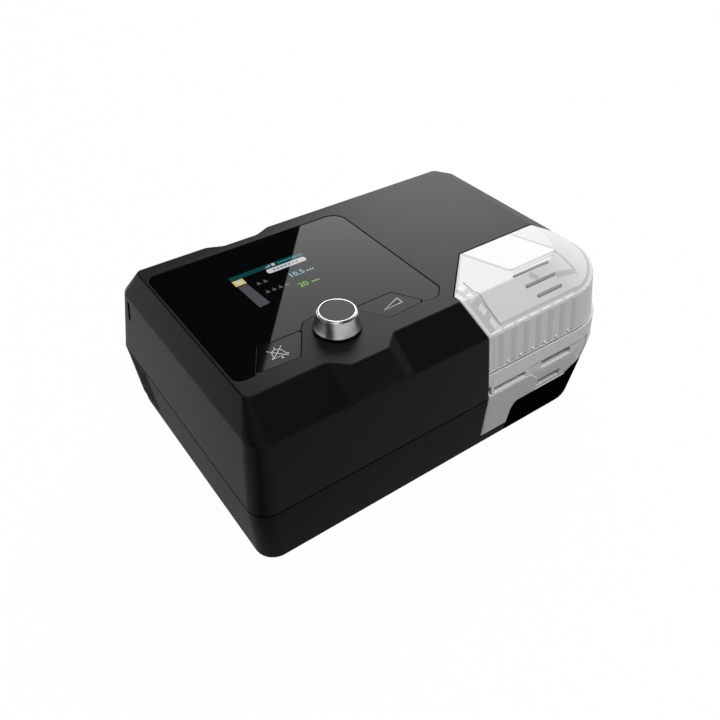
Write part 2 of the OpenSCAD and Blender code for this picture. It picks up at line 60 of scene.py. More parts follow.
def linear(code: str) -> tuple[float, float, float, float]:
    """Turn an sRGB colour to linear light.

    Args:
        code: Six hex digits.

    Returns:
        Red, green, blue and an alpha of one.
    """
    parts = [int(code[i:i + 2], 16) / 255 for i in (0, 2, 4)]
    bent = [c / 12.92 if c <= 0.04045 else ((c + 0.055) / 1.055) ** 2.4 for c in parts]
    return (bent[0], bent[1], bent[2], 1.0)


def add(tree: bpy.types.NodeTree, kind: str, inputs: dict[Any, Any] | None = None,
        **settings: Any) -> bpy.types.Node:
    """Add a node with its settings, and fill or link its inputs.

    Args:
        tree: Node tree to grow.
        kind: Blender's name for the node.
        inputs: Input name or number, with a value or the socket to link from.
        settings: Attributes of the node.

    Returns:
        The new node.
    """
    made = tree.nodes.new(kind)
    for name, value in settings.items():
        setattr(made, name, value)
    for name, value in (inputs or {}).items():
        if isinstance(value, bpy.types.NodeSocket):
            tree.links.new(value, made.inputs[name])
        else:
            made.inputs[name].default_value = value
    return made


def cleared(owner: bpy.types.Material | bpy.types.World) -> bpy.types.NodeTree:
    """Turn on the nodes of a material or a world, and empty them.

    Args:
        owner: Whose nodes they are.

    Returns:
        The empty tree.
    """
    owner.use_nodes = True
    owner.node_tree.nodes.clear()
    return owner.node_tree


def put(name: str, data: bpy.types.ID) -> bpy.types.Object:
    """Make an object and link it to the scene.

    Args:
        name: Its name.
        data: Its mesh, curve, lamp or camera.

    Returns:
        The object.
    """
    made = bpy.data.objects.new(name, data)
    bpy.context.scene.collection.objects.link(made)
    return made


def baked(thing: bpy.types.Object) -> bpy.types.Mesh:
    """Copy an object's mesh with its modifiers applied.

    Args:
        thing: The object.

    Returns:
        The new mesh.
    """
    graph = bpy.context.evaluated_depsgraph_get()
    return bpy.data.meshes.new_from_object(thing.evaluated_get(graph))


def single_face(name: str, corners: Sequence[Sequence[float]], cover: bpy.types.Material
                ) -> bpy.types.Object:
    """Make a four-sided card with one material.

    Args:
        name: Its name.
        corners: Its four corners in metres.
        cover: Its material.

    Returns:
        The card.
    """
    mesh = bpy.data.meshes.new(name)
    mesh.from_pydata([tuple(c) for c in corners], [], [(0, 1, 2, 3)])
    mesh.materials.append(cover)
    return put(name, mesh)


class Grain(Enum):
    """How a surface varies from place to place."""

    SPARK = "spark-eroded mould texture"
    RINGS = "marks of turning round an upright axis"
    FLOW = "slow clouding of a thick or filled plastic"
    CELLS = "open cells"
    TRACKS = "etched copper under lacquer"
    FIBRE = "laid fibres"


@dataclass(frozen=True)
class Finish:
    """One real material and how its surface was made.

    Attributes:
        name: What a maker calls it.
        colour: Main colour in sRGB hex.
        second: Colour it drifts to in its pattern.
        rough: Roughness at the pattern's middle.
        swing: How far the pattern moves the roughness.
        grain: Kind of pattern.
        size: Size of the pattern's marks in millimetres.
        depth: Height of the marks in millimetres.
        metal: One for a metal.
        gloss: Specular level.
        lamp: Colour of its own light, or nothing when it isn't lit.
        centre: Middle of a turned pattern, in millimetres.
    """

    name: str
    colour: str
    second: str
    rough: float
    swing: float = 0.05
    grain: Grain = Grain.SPARK
    size: float = 0.6
    depth: float = 0.02
    metal: float = 0.0
    gloss: float = 0.5
    lamp: str = ""
    centre: Corner = (0.0, 0.0, 0.0)

    def material(self) -> bpy.types.Material:
        """Build the material once and give it again afterwards.

        Returns:
            The node material of this finish.
        """
        if self.name in bpy.data.materials:
            return bpy.data.materials[self.name]
        made = bpy.data.materials.new(self.name)
        tree = cleared(made)
        place = add(tree, "ShaderNodeTexCoord").outputs["Object"]
        place = add(tree, "ShaderNodeMapping", {"Vector": place,
                    "Location": [-c * MM for c in self.centre]}).outputs["Vector"]
        value = self._pattern(tree, place)
        colour = add(tree, "ShaderNodeMix", {0: value, 6: linear(self.colour),
                     7: linear(self.second)}, data_type="RGBA").outputs[2]
        rough = add(tree, "ShaderNodeMapRange", {"Value": value,
                    "To Min": self.rough - self.swing,
                    "To Max": self.rough + self.swing}).outputs["Result"]
        bump = add(tree, "ShaderNodeBump", {"Height": value, "Strength": 0.6,
                   "Distance": self.depth * MM}).outputs["Normal"]
        inputs = {"Base Color": colour, "Roughness": rough, "Normal": bump,
                  "Metallic": self.metal, "Specular IOR Level": self.gloss}
        if self.lamp:
            inputs["Emission Color"] = linear(self.lamp)
            inputs["Emission Strength"] = 1.0
        skin = add(tree, "ShaderNodeBsdfPrincipled", inputs).outputs["BSDF"]
        add(tree, "ShaderNodeOutputMaterial", {"Surface": skin})
        return made

    def _pattern(self, tree: bpy.types.NodeTree, place: bpy.types.NodeSocket
                 ) -> bpy.types.NodeSocket:
        """Make the value from zero to one that drives colour, roughness and bump.

        Args:
            tree: Material's tree.
            place: Object coordinates from the pattern's centre.

        Returns:
            The socket that carries the value.
        """
        scale = 1 / (self.size * MM)
        if self.grain is Grain.RINGS:
            rings = add(tree, "ShaderNodeTexWave", {"Vector": place, "Scale": scale / 6.28,
                        "Distortion": 0.4, "Detail": 2.0}, wave_type="RINGS",
                        rings_direction="Z")
            return rings.outputs["Fac"]
        if self.grain is Grain.CELLS:
            cells = add(tree, "ShaderNodeTexVoronoi", {"Vector": place, "Scale": scale})
            return cells.outputs["Distance"]
        if self.grain is Grain.TRACKS:
            tracks = add(tree, "ShaderNodeTexBrick", {"Vector": place, "Scale": scale,
                         "Color1": (1, 1, 1, 1), "Color2": (0.7, 0.7, 0.7, 1),
                         "Mortar": (0, 0, 0, 1), "Mortar Size": 0.04})
            return tracks.outputs["Color"]
        stretch = (1.0, 1.0, 1.0)
        if self.grain is Grain.FIBRE:
            stretch = (0.2, 1.0, 1.0)
        place = add(tree, "ShaderNodeMapping", {"Vector": place, "Scale": stretch}).outputs[0]
        detail = 2.0 if self.grain is Grain.FLOW else 4.0
        noise = add(tree, "ShaderNodeTexNoise", {"Vector": place, "Scale": scale,
                    "Detail": detail, "Roughness": 0.55})
        return noise.outputs["Fac"]


# ABS from a spark-eroded mould: a soft sheen that blurs the lamps over the flat top.
CASING = Finish("moulded ABS, fine satin", "0e0d0d", "121111", 0.40, 0.03, size=0.7, depth=0.006,
                gloss=0.066)
# The same ABS in black for the base: a little darker, with the same even sheen.
BASE = Finish("moulded ABS, black satin", "0c0c0c", "0f0f0f", 0.42, 0.03, size=0.7, depth=0.006,
              gloss=0.012)
# Polished acrylic with black ink behind it: a still mirror that keeps the lamp's edge crisp.
LENS = Finish("back-printed acrylic, polished", "050505", "060606", 0.02, 0.004, Grain.FLOW,
              size=9.0, depth=0.0005, gloss=0.05)
# The keys are the same acrylic over a soft dome, with a shade more haze.
KEY = Finish("hard-coated acrylic key cap", "060606", "070707", 0.05, 0.01, Grain.FLOW, size=6.0,
             depth=0.0005, gloss=0.05)
# White ink under the hard coat, which stays plain at any angle.
INK = Finish("screen-printed white ink", "b4b4b4", "bcbcbc", 0.5, size=0.4, depth=0.002)
# Turned aluminium, bead-blasted and anodised: broad soft streaks down the flared skirt.
KNOB = Finish("satin anodised aluminium", "bebfc1", "c2c3c5", 0.31, 0.01, Grain.FLOW, size=3.0,
              depth=0.0005, metal=1.0)
# The chamfer is cut bright after anodising, so it flashes as a thin white ring.
KNOB_EDGE = Finish("diamond-cut aluminium", "cccdcf", "d2d3d5", 0.2, 0.02, Grain.FLOW,
                   size=3.0, depth=0.0005, metal=1.0)
# Grey disc with a fine spun face, let into the knob's top.
KNOB_DISC = Finish("spun disc, grey lacquer", "2e2e2f", "333334", 0.36, 0.03, Grain.RINGS,
                   size=0.3, depth=0.001, gloss=0.06, centre=(-54.7, -44.7, 0.0))
# Polycarbonate with a light haze: white where light falls on it, soft lines where walls double up.
CLEAR = Finish("hazed polycarbonate", "c0c1c3", "c4c5c7", 0.30, 0.03, Grain.FLOW, size=30.0,
               depth=0.002, gloss=0.05)
# A second wall close under the first makes it look a shade greyer. The same grey paints shade in
# thin lines along the rounded left edges of the tub and the lid.
DOUBLE_WALL_AND_EDGE_SHADE = Finish("hazed polycarbonate, two walls and edge shade", "aaabad", "aeafb1", 0.32, 0.03, Grain.FLOW,
                size=20.0, depth=0.002, gloss=0.05)
# The broad ribs stand a little proud of the lid's wall. Their greyer copy of the plastic is
# painted shade, so they read as soft grey stripes.
RIB_SHADE = replace(DOUBLE_WALL_AND_EDGE_SHADE, name="hazed polycarbonate, ribs in painted shade", colour="b4b5b7", second="b8b9bb")
# A third layer, or a wall seen along its length, is greyer still. The same grey is painted shade
# all over the grip bars.
EDGE_LINE_AND_BAR_SHADE = replace(DOUBLE_WALL_AND_EDGE_SHADE, name="hazed polycarbonate, edge line and bar shade", colour="868789",
                   second="8b8c8e")
# Whiter plastic for the small beads, and painted highlight in the dashes along the belt's soft
# edge.
WHITE_BEADS_AND_HIGHLIGHT = Finish("polycarbonate, beads and painted highlight", "e2e3e4", "e5e6e7", 0.2, 0.02, Grain.FLOW, size=8.0,
                depth=0.001, gloss=0.05)
# Painted highlight: over the air guide and in the strip's windows the plastic is painted brighter
# and even.
AIRWAY_HIGHLIGHT = Finish("hazed polycarbonate, painted highlight", "c8c9ca", "cbcccd", 0.24, 0.02, Grain.FLOW,
                size=25.0, depth=0.002, gloss=0.05)
# Polished black polycarbonate, deeper than the satin casing beside it. The same black is painted
# shadow in the thin ring under the knob's skirt.
GRIP_BLACK_AND_SHADE = Finish("polished black polycarbonate and painted shadow", "060606", "080808", 0.12, 0.02, Grain.FLOW,
              size=12.0, depth=0.001, gloss=0.0)
# Milky silicone: soft, slightly greasy sheen.
SILICONE = Finish("moulded silicone", "b9c0c6", "c4cad0", 0.48, size=0.8, depth=0.01)
# Carbon-filled rubber: dull, with a trace of bloom.
RUBBER = Finish("moulded black rubber", "151515", "1d1d1d", 0.78, 0.06, size=0.9, depth=0.03,
                gloss=0.3)
# Bright zinc plate on steel.
STEEL = Finish("zinc-plated steel", "b4b6b8", "c0c2c4", 0.3, 0.06, Grain.FLOW, size=1.5,
               depth=0.003, metal=1.0)
# Ground and stretched aluminium plate with a clear sealing.
PLATE = Finish("brushed aluminium plate", "a9abad", "b7b9bb", 0.34, 0.08, Grain.FIBRE, size=0.5,
               depth=0.004, metal=1.0)
# Amber polyimide film over an etched heating track.
FILM = Finish("polyimide heating film", "a8651c", "b87a2c", 0.3, 0.05, Grain.TRACKS, size=4.0,
              depth=0.02)
# Glass-epoxy laminate under green solder mask.
BOARD = Finish("solder-masked laminate", "0f4a2c", "1a6440", 0.35, 0.08, Grain.TRACKS, size=3.0,
               depth=0.03)
# Dark moulded epoxy of the parts on the boards.
PARTS = Finish("moulded epoxy", "262628", "303033", 0.5, 0.06, size=0.6, depth=0.01)
# Grey acetal of switches and the card reader.
ACETAL = Finish("moulded acetal", "7c7d80", "858689", 0.42, 0.04, size=0.7, depth=0.01)
# Natural ABS of the parts nobody sees: off-white, plain.
NATURAL = Finish("moulded ABS, natural", "cfccc2", "d8d5cc", 0.46, 0.05, size=0.8, depth=0.01)
# Open-cell polyurethane: dull and full of little holes.
FOAM = Finish("open-cell acoustic foam", "2c2d31", "3d3e43", 0.9, 0.05, Grain.CELLS, size=1.6,
              depth=0.5, gloss=0.2)
# Laid polyester fibre, felt-like, in the pleats.
FELT = Finish("laid polyester fibre", "d9dad6", "e8e9e6", 0.85, 0.05, Grain.FIBRE, size=0.5,
              depth=0.1, gloss=0.2)
# Lit panel: the picture glows through the black lens and keeps the lens's own gloss.
TEAL, YELLOW, GREY, WHITE, BLUE, GREEN, AQUA, DIM = (
    replace(LENS, name=f"lit panel, {name}", depth=0.0002, lamp=lamp)
    for name, lamp in (("teal", "0a3c3e"), ("yellow", "c9ba62"), ("grey", "4a4c4f"),
                       ("white", "c2c3c8"), ("pale blue", "86b4be"), ("green", "7fae3c"),
                       ("aqua", "2f8486"), ("dim", "76787c")))
PANEL = Finish("liquid crystal panel", "0b2a2e", "0e3034", 0.2, 0.03, Grain.TRACKS, size=2.0,
               depth=0.001, gloss=0.5)


# --- Flat outlines -------------------------------------------------------------------------------

def rounded(outline: Sequence[Corner], steps: int = 6) -> list[Flat]:
    """Round every corner of an outline.

    Args:
        outline: Corners as x, y and radius.
        steps: Chords in each corner.

    Returns:
        The rounded outline.
    """
    made: list[Flat] = []
    for i, (x, y, r) in enumerate(outline):
        here = Vector((x, y))
        back = (Vector(outline[i - 1][:2]) - here).normalized()
        ahead = (Vector(outline[(i + 1) % len(outline)][:2]) - here).normalized()
        half = math.acos(max(-1.0, min(1.0, back.dot(ahead)))) / 2
        if r <= 0 or abs(half - math.pi / 2) < 0.001:
            made.append((x, y))
            continue
        middle = here + (back + ahead).normalized() * r / math.sin(half)
        start = here + back * r / math.tan(half) - middle
        stop = here + ahead * r / math.tan(half) - middle
        angle = math.atan2(start.y, start.x)
        turn = (math.atan2(stop.y, stop.x) - angle + 3 * math.pi) % (2 * math.pi) - math.pi
        for k in range(steps + 1):
            a = angle + turn * k / steps
            made.append((middle.x + r * math.cos(a), middle.y + r * math.sin(a)))
    return made


def outset(outline: Sequence[Corner], width: float) -> list[Corner]:
    """Set an outline out by the same width all round.

    Args:
        outline: Corners as x, y and radius, anticlockwise.
        width: How far out; inwards when negative.

    Returns:
        The wider outline, with the same radii.
    """
    made: list[Corner] = []
    for i, (x, y, r) in enumerate(outline):
        here = Vector((x, y))
        a = (here - Vector(outline[i - 1][:2])).normalized()
        b = (Vector(outline[(i + 1) % len(outline)][:2]) - here).normalized()
        out = width * Vector((a.y + b.y, -a.x - b.x)) / (1 + a.dot(b))
        made.append((x + out.x, y + out.y, r))
    return made


def mirrored(outline: Sequence[Corner], about: float) -> list[Corner]:
    """Mirror an outline in x, and keep it anticlockwise.

    Args:
        outline: Corners as x, y and radius.
        about: Where the mirror stands.

    Returns:
        The mirror image.
    """
    return [(2 * about - x, y, r) for x, y, r in reversed(outline)]


def ribbon(path: Sequence[Flat], width: float, closed: bool = False) -> list[list[Flat]]:
    """Give a line a width.

    Args:
        path: Points of the line.
        width: Full width.
        closed: Whether the line ends where it starts.

    Returns:
        One small four-sided outline for each stretch.
    """
    points = [Vector(p) for p in path]
    sides: list[tuple[Vector, Vector]] = []
    count = len(points)
    for i, here in enumerate(points):
        before = points[i - 1] if closed or i else points[0]
        after = points[(i + 1) % count] if closed or i < count - 1 else points[-1]
        a = (here - before).normalized() if (here - before).length else Vector((0, 0))
        b = (after - here).normalized() if (after - here).length else Vector((0, 0))
        way = (a + b).normalized()
        bend = max(0.5, way.dot(b if b.length else a))
        out = Vector((-way.y, way.x)) * width / 2 / bend
        sides.append((here + out, here - out))
    stretches = count if closed else count - 1
    quads = []
    for i in range(stretches):
        (la, ra), (lb, rb) = sides[i], sides[(i + 1) % count]
        quads.append([tuple(ra), tuple(rb), tuple(lb), tuple(la)])
    return quads


def circle(centre: Flat, radius: float, steps: int = 40, start: float = 0.0,
           turn: float = 360.0) -> list[Flat]:
    """Points round a circle or an arc.

    Args:
        centre: Its middle.
        radius: Its radius.
        steps: Number of chords.
        start: First angle in degrees.
        turn: Angle covered in degrees.

    Returns:
        The points, without the repeated last one on a full circle.
    """
    last = 0 if turn >= 360 else 1
    return [(centre[0] + radius * math.cos(math.radians(start + turn * k / steps)),
             centre[1] + radius * math.sin(math.radians(start + turn * k / steps)))
            for k in range(steps + last)]


def bezier(a: Vector, b: Vector, c: Vector, steps: int) -> list[Vector]:
    """Points of a quadratic curve.

    Args:
        a: Start.
        b: Control point, which is the corner being rounded.
        c: End.
        steps: Number of chords.

    Returns:
        The points from start to end.
    """
    return [a * (1 - s) ** 2 + b * 2 * s * (1 - s) + c * s ** 2
            for s in (k / steps for k in range(steps + 1))]


# --- Solids --------------------------------------------------------------------------------------

class Solid:
    """A closed mesh in millimetres that is cut, joined and then made a piece."""

    def __init__(self, verts: Sequence[Sequence[float]], faces: Sequence[Sequence[int]]) -> None:
        """Start from vertices and faces.

        Args:
            verts: Points in millimetres.
            faces: Vertex numbers of each face, anticlockwise from outside.
        """
        mesh = bpy.data.meshes.new("solid")
        mesh.from_pydata([tuple(v) for v in verts], [], [list(f) for f in faces])
        self.thing = put("solid", mesh)

    @classmethod
    def loft(cls, rows: Sequence[Sequence[Sequence[float]]]) -> "Solid":
        """Skin a stack of rings with the same number of points.

        Args:
            rows: Rings from low to high, each anticlockwise from above.

        Returns:
            The solid with flat ends.
        """
        n = len(rows[0])
        faces = [list(range(n - 1, -1, -1))]
        for k in range(len(rows) - 1):
            a, b = k * n, (k + 1) * n
            for i in range(n):
                j = (i + 1) % n
                faces.append([a + i, a + j, b + j, b + i])
        faces.append([(len(rows) - 1) * n + i for i in range(n)])
        return cls([p for row in rows for p in row], faces)

    @classmethod
    def prism(cls, outline: Sequence[Flat], z0: float, z1: float, soft: float = 0.0) -> "Solid":
        """Raise a flat outline, with a soft upper edge if asked.

        Args:
            outline: Points, anticlockwise from above.
            z0: Lower height.
            z1: Upper height.
            soft: Radius of the upper edge.

        Returns:
            The prism.
        """
        rows = [[(x, y, z0) for x, y in outline]]
        if soft:
            for k in range(4):
                a = math.radians(30 * k)
                inner = outset([(x, y, 0) for x, y in outline], -soft * (1 - math.cos(a)))
                rows.append([(x, y, z1 - soft + soft * math.sin(a)) for x, y, _ in inner])
        else:
            rows.append([(x, y, z1) for x, y in outline])
        return cls.loft(rows)

    @classmethod
    def block(cls, a: Sequence[float], b: Sequence[float]) -> "Solid":
        """A box from its two corners."""
        return cls.prism([(a[0], a[1]), (b[0], a[1]), (b[0], b[1]), (a[0], b[1])], a[2], b[2])

    @classmethod
    def along_y(cls, outline: Sequence[Flat], y0: float, y1: float) -> "Solid":
        """Raise an outline in x and z along Y.

        Args:
            outline: Points as x and z, anticlockwise from the front.
            y0: Front.
            y1: Back.

        Returns:
            The prism.
        """
        made = cls.prism(outline, -y1, -y0)
        made.thing.data.transform(Matrix.Rotation(math.pi / 2, 4, "X"))
        return made

    @classmethod
    def turned(cls, profile: Sequence[Flat], centre: Flat, steps: int = 96) -> "Solid":
        """Turn a closed profile about an upright axis.

        Args:
            profile: Points as radius and height, anticlockwise seen with the axis at the left.
            centre: Where the axis stands.
            steps: Facets round the axis.

        Returns:
            The turned ring.
        """
        n = len(profile)
        verts = []
        faces = []
        for k in range(steps):
            a = 2 * math.pi * k / steps
            verts += [(centre[0] + r * math.cos(a), centre[1] + r * math.sin(a), z)
                      for r, z in profile]
            m = (k + 1) % steps
            faces += [[k * n + i, m * n + i, m * n + (i + 1) % n, k * n + (i + 1) % n]
                      for i in range(n)]
        return cls(verts, faces)

    @classmethod
    def bar_y(cls, at: Sequence[float], radius: float, length: float, steps: int = 48) -> "Solid":
        """A round bar along +Y.

        Args:
            at: Middle of its front end.
            radius: Its radius.
            length: Its length.
            steps: Facets round it.

        Returns:
            The bar.
        """
        return cls.along_y(circle((at[0], at[2]), radius, steps), at[1], at[1] + length)

    def _combine(self, other: "Solid", how: str) -> "Solid":
        """Apply one Boolean and drop the other solid.

        Args:
            other: The second solid.
            how: Blender's name of the operation.

        Returns:
            This solid, changed.
        """
        step = self.thing.modifiers.new("step", "BOOLEAN")
        step.operation = how
        step.solver = "MANIFOLD"
        step.object = other.thing
        self.bake()
        other.drop()
        return self

    def bake(self) -> None:
        """Apply the modifiers and keep the result as the solid's own mesh."""
        mesh = baked(self.thing)
        self.thing.modifiers.clear()
        old, self.thing.data = self.thing.data, mesh
        bpy.data.meshes.remove(old)

    def cut(self, *others: "Solid") -> "Solid":
        """Take other solids away."""
        for other in others:
            self._combine(other, "DIFFERENCE")
        return self

    def meet(self, other: "Solid") -> "Solid":
        """Keep what is also in the other solid."""
        return self._combine(other, "INTERSECT")

    def join(self, *others: "Solid") -> "Solid":
        """Fuse other solids to this one."""
        for other in others:
            self._combine(other, "UNION")
        return self

    def drop(self) -> None:
        """Remove the solid and its mesh."""
        mesh = self.thing.data
        bpy.data.objects.remove(self.thing)
        bpy.data.meshes.remove(mesh)

    def tree(self) -> BVHTree:
        """Search tree over the solid's faces, in millimetres."""
        mesh = self.thing.data
        return BVHTree.FromPolygons([v.co.copy() for v in mesh.vertices],
                                    [tuple(p.vertices) for p in mesh.polygons])

    def piece(self, name: str, finish: Finish, body: str, soft: float = 0.0,
              angle: float = 32.0, steps: int = 2) -> bpy.types.Object:
        """Turn the solid into a dressed piece in metres.

        Args:
            name: Name of the piece.
            finish: Its material.
            body: CAD body it rides on.
            soft: Width of the rounding on its sharp edges, in millimetres.
            angle: Edges that bend more than this are sharp, in degrees.
            steps: Chords across each rounding.

        Returns:
            The piece.
        """
        mesh = self.thing.data
        mesh.name = name
        self.thing.name = name
        work = bmesh.new()
        work.from_mesh(mesh)
        bmesh.ops.remove_doubles(work, verts=work.verts, dist=0.004)
        bmesh.ops.dissolve_degenerate(work, edges=work.edges, dist=0.004)
        bmesh.ops.dissolve_limit(work, angle_limit=math.radians(0.6), verts=work.verts,
                                 edges=work.edges)
        work.to_mesh(mesh)
        work.free()
        mesh.transform(Matrix.Scale(MM, 4))
        mesh.materials.clear()
        mesh.materials.append(finish.material())
        mesh.polygons.foreach_set("use_smooth", [True] * len(mesh.polygons))
        mesh.set_sharp_from_angle(angle=math.radians(angle))
        if soft:
            edge = self.thing.modifiers.new("soft edges", "BEVEL")
            edge.width = soft * MM
            edge.segments = steps
            edge.limit_method = "ANGLE"
            edge.angle_limit = math.radians(angle)
            edge.use_clamp_overlap = False
        even = self.thing.modifiers.new("even normals", "WEIGHTED_NORMAL")
        even.keep_sharp = True
        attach(self.thing, body)
        LOG.info("%s: %d faces", name, len(mesh.polygons))
        return self.thing


def merged(name: str, parts: Iterable[Solid], finish: Finish, body: str, soft: float = 0.0
           ) -> bpy.types.Object:
    """Make one piece of solids that don't touch.

    Args:
        name: Name of the piece.
        parts: The solids.
        finish: Their material.
        body: CAD body that the piece rides on.
        soft: Width of the rounding on sharp edges, in millimetres.

    Returns:
        The piece.
    """
    verts: list[Vector] = []
    faces: list[list[int]] = []
    for part in parts:
        start = len(verts)
        verts += [v.co.copy() for v in part.thing.data.vertices]
        faces += [[start + i for i in p.vertices] for p in part.thing.data.polygons]
        part.drop()
    return Solid(verts, faces).piece(name, finish, body, soft)


class Row:
    """Geometry Nodes that repeat one solid along a line."""

    @staticmethod
    def tree(finish: Finish) -> tuple[bpy.types.NodeTree, str, str]:
        """Build the tree.

        Args:
            finish: Material of every copy.

        Returns:
            The tree and the identifiers of its count and step inputs.
        """
        tree = bpy.data.node_groups.new("row", "GeometryNodeTree")
        face = tree.interface
        face.new_socket("Geometry", in_out="INPUT", socket_type="NodeSocketGeometry")
        count = face.new_socket("Count", in_out="INPUT", socket_type="NodeSocketInt")
        step = face.new_socket("Step", in_out="INPUT", socket_type="NodeSocketVector")
        face.new_socket("Geometry", in_out="OUTPUT", socket_type="NodeSocketGeometry")
        source = add(tree, "NodeGroupInput")
        line = add(tree, "GeometryNodeMeshLine", {"Count": source.outputs["Count"],
                   "Offset": source.outputs["Step"]}, mode="OFFSET")
        copies = add(tree, "GeometryNodeInstanceOnPoints", {"Points": line.outputs["Mesh"],
                     "Instance": source.outputs["Geometry"]})
        real = add(tree, "GeometryNodeRealizeInstances",
                   {"Geometry": copies.outputs["Instances"]})
        dressed = add(tree, "GeometryNodeSetMaterial", {"Geometry": real.outputs["Geometry"],
                      "Material": finish.material()})
        add(tree, "NodeGroupOutput", {"Geometry": dressed.outputs["Geometry"]})
        return tree, count.identifier, step.identifier

    @classmethod
    def of(cls, solid: Solid, finish: Finish, count: int, step: Sequence[float]) -> Solid:
        """Repeat a solid.

        Args:
            solid: What to repeat, at its first place.
            finish: Material of every copy.
            count: Number of copies.
            step: From one copy to the next.

        Returns:
            One solid that holds all the copies.
        """
        tree, count_id, step_id = cls.tree(finish)
        nodes = solid.thing.modifiers.new("row", "NODES")
        nodes.node_group = tree
        nodes[count_id] = count
        nodes[step_id] = [float(s) for s in step]
        solid.bake()
        bpy.data.node_groups.remove(tree)
        return solid


# --- Outer form shared by the casing and the chamber ---------------------------------------------

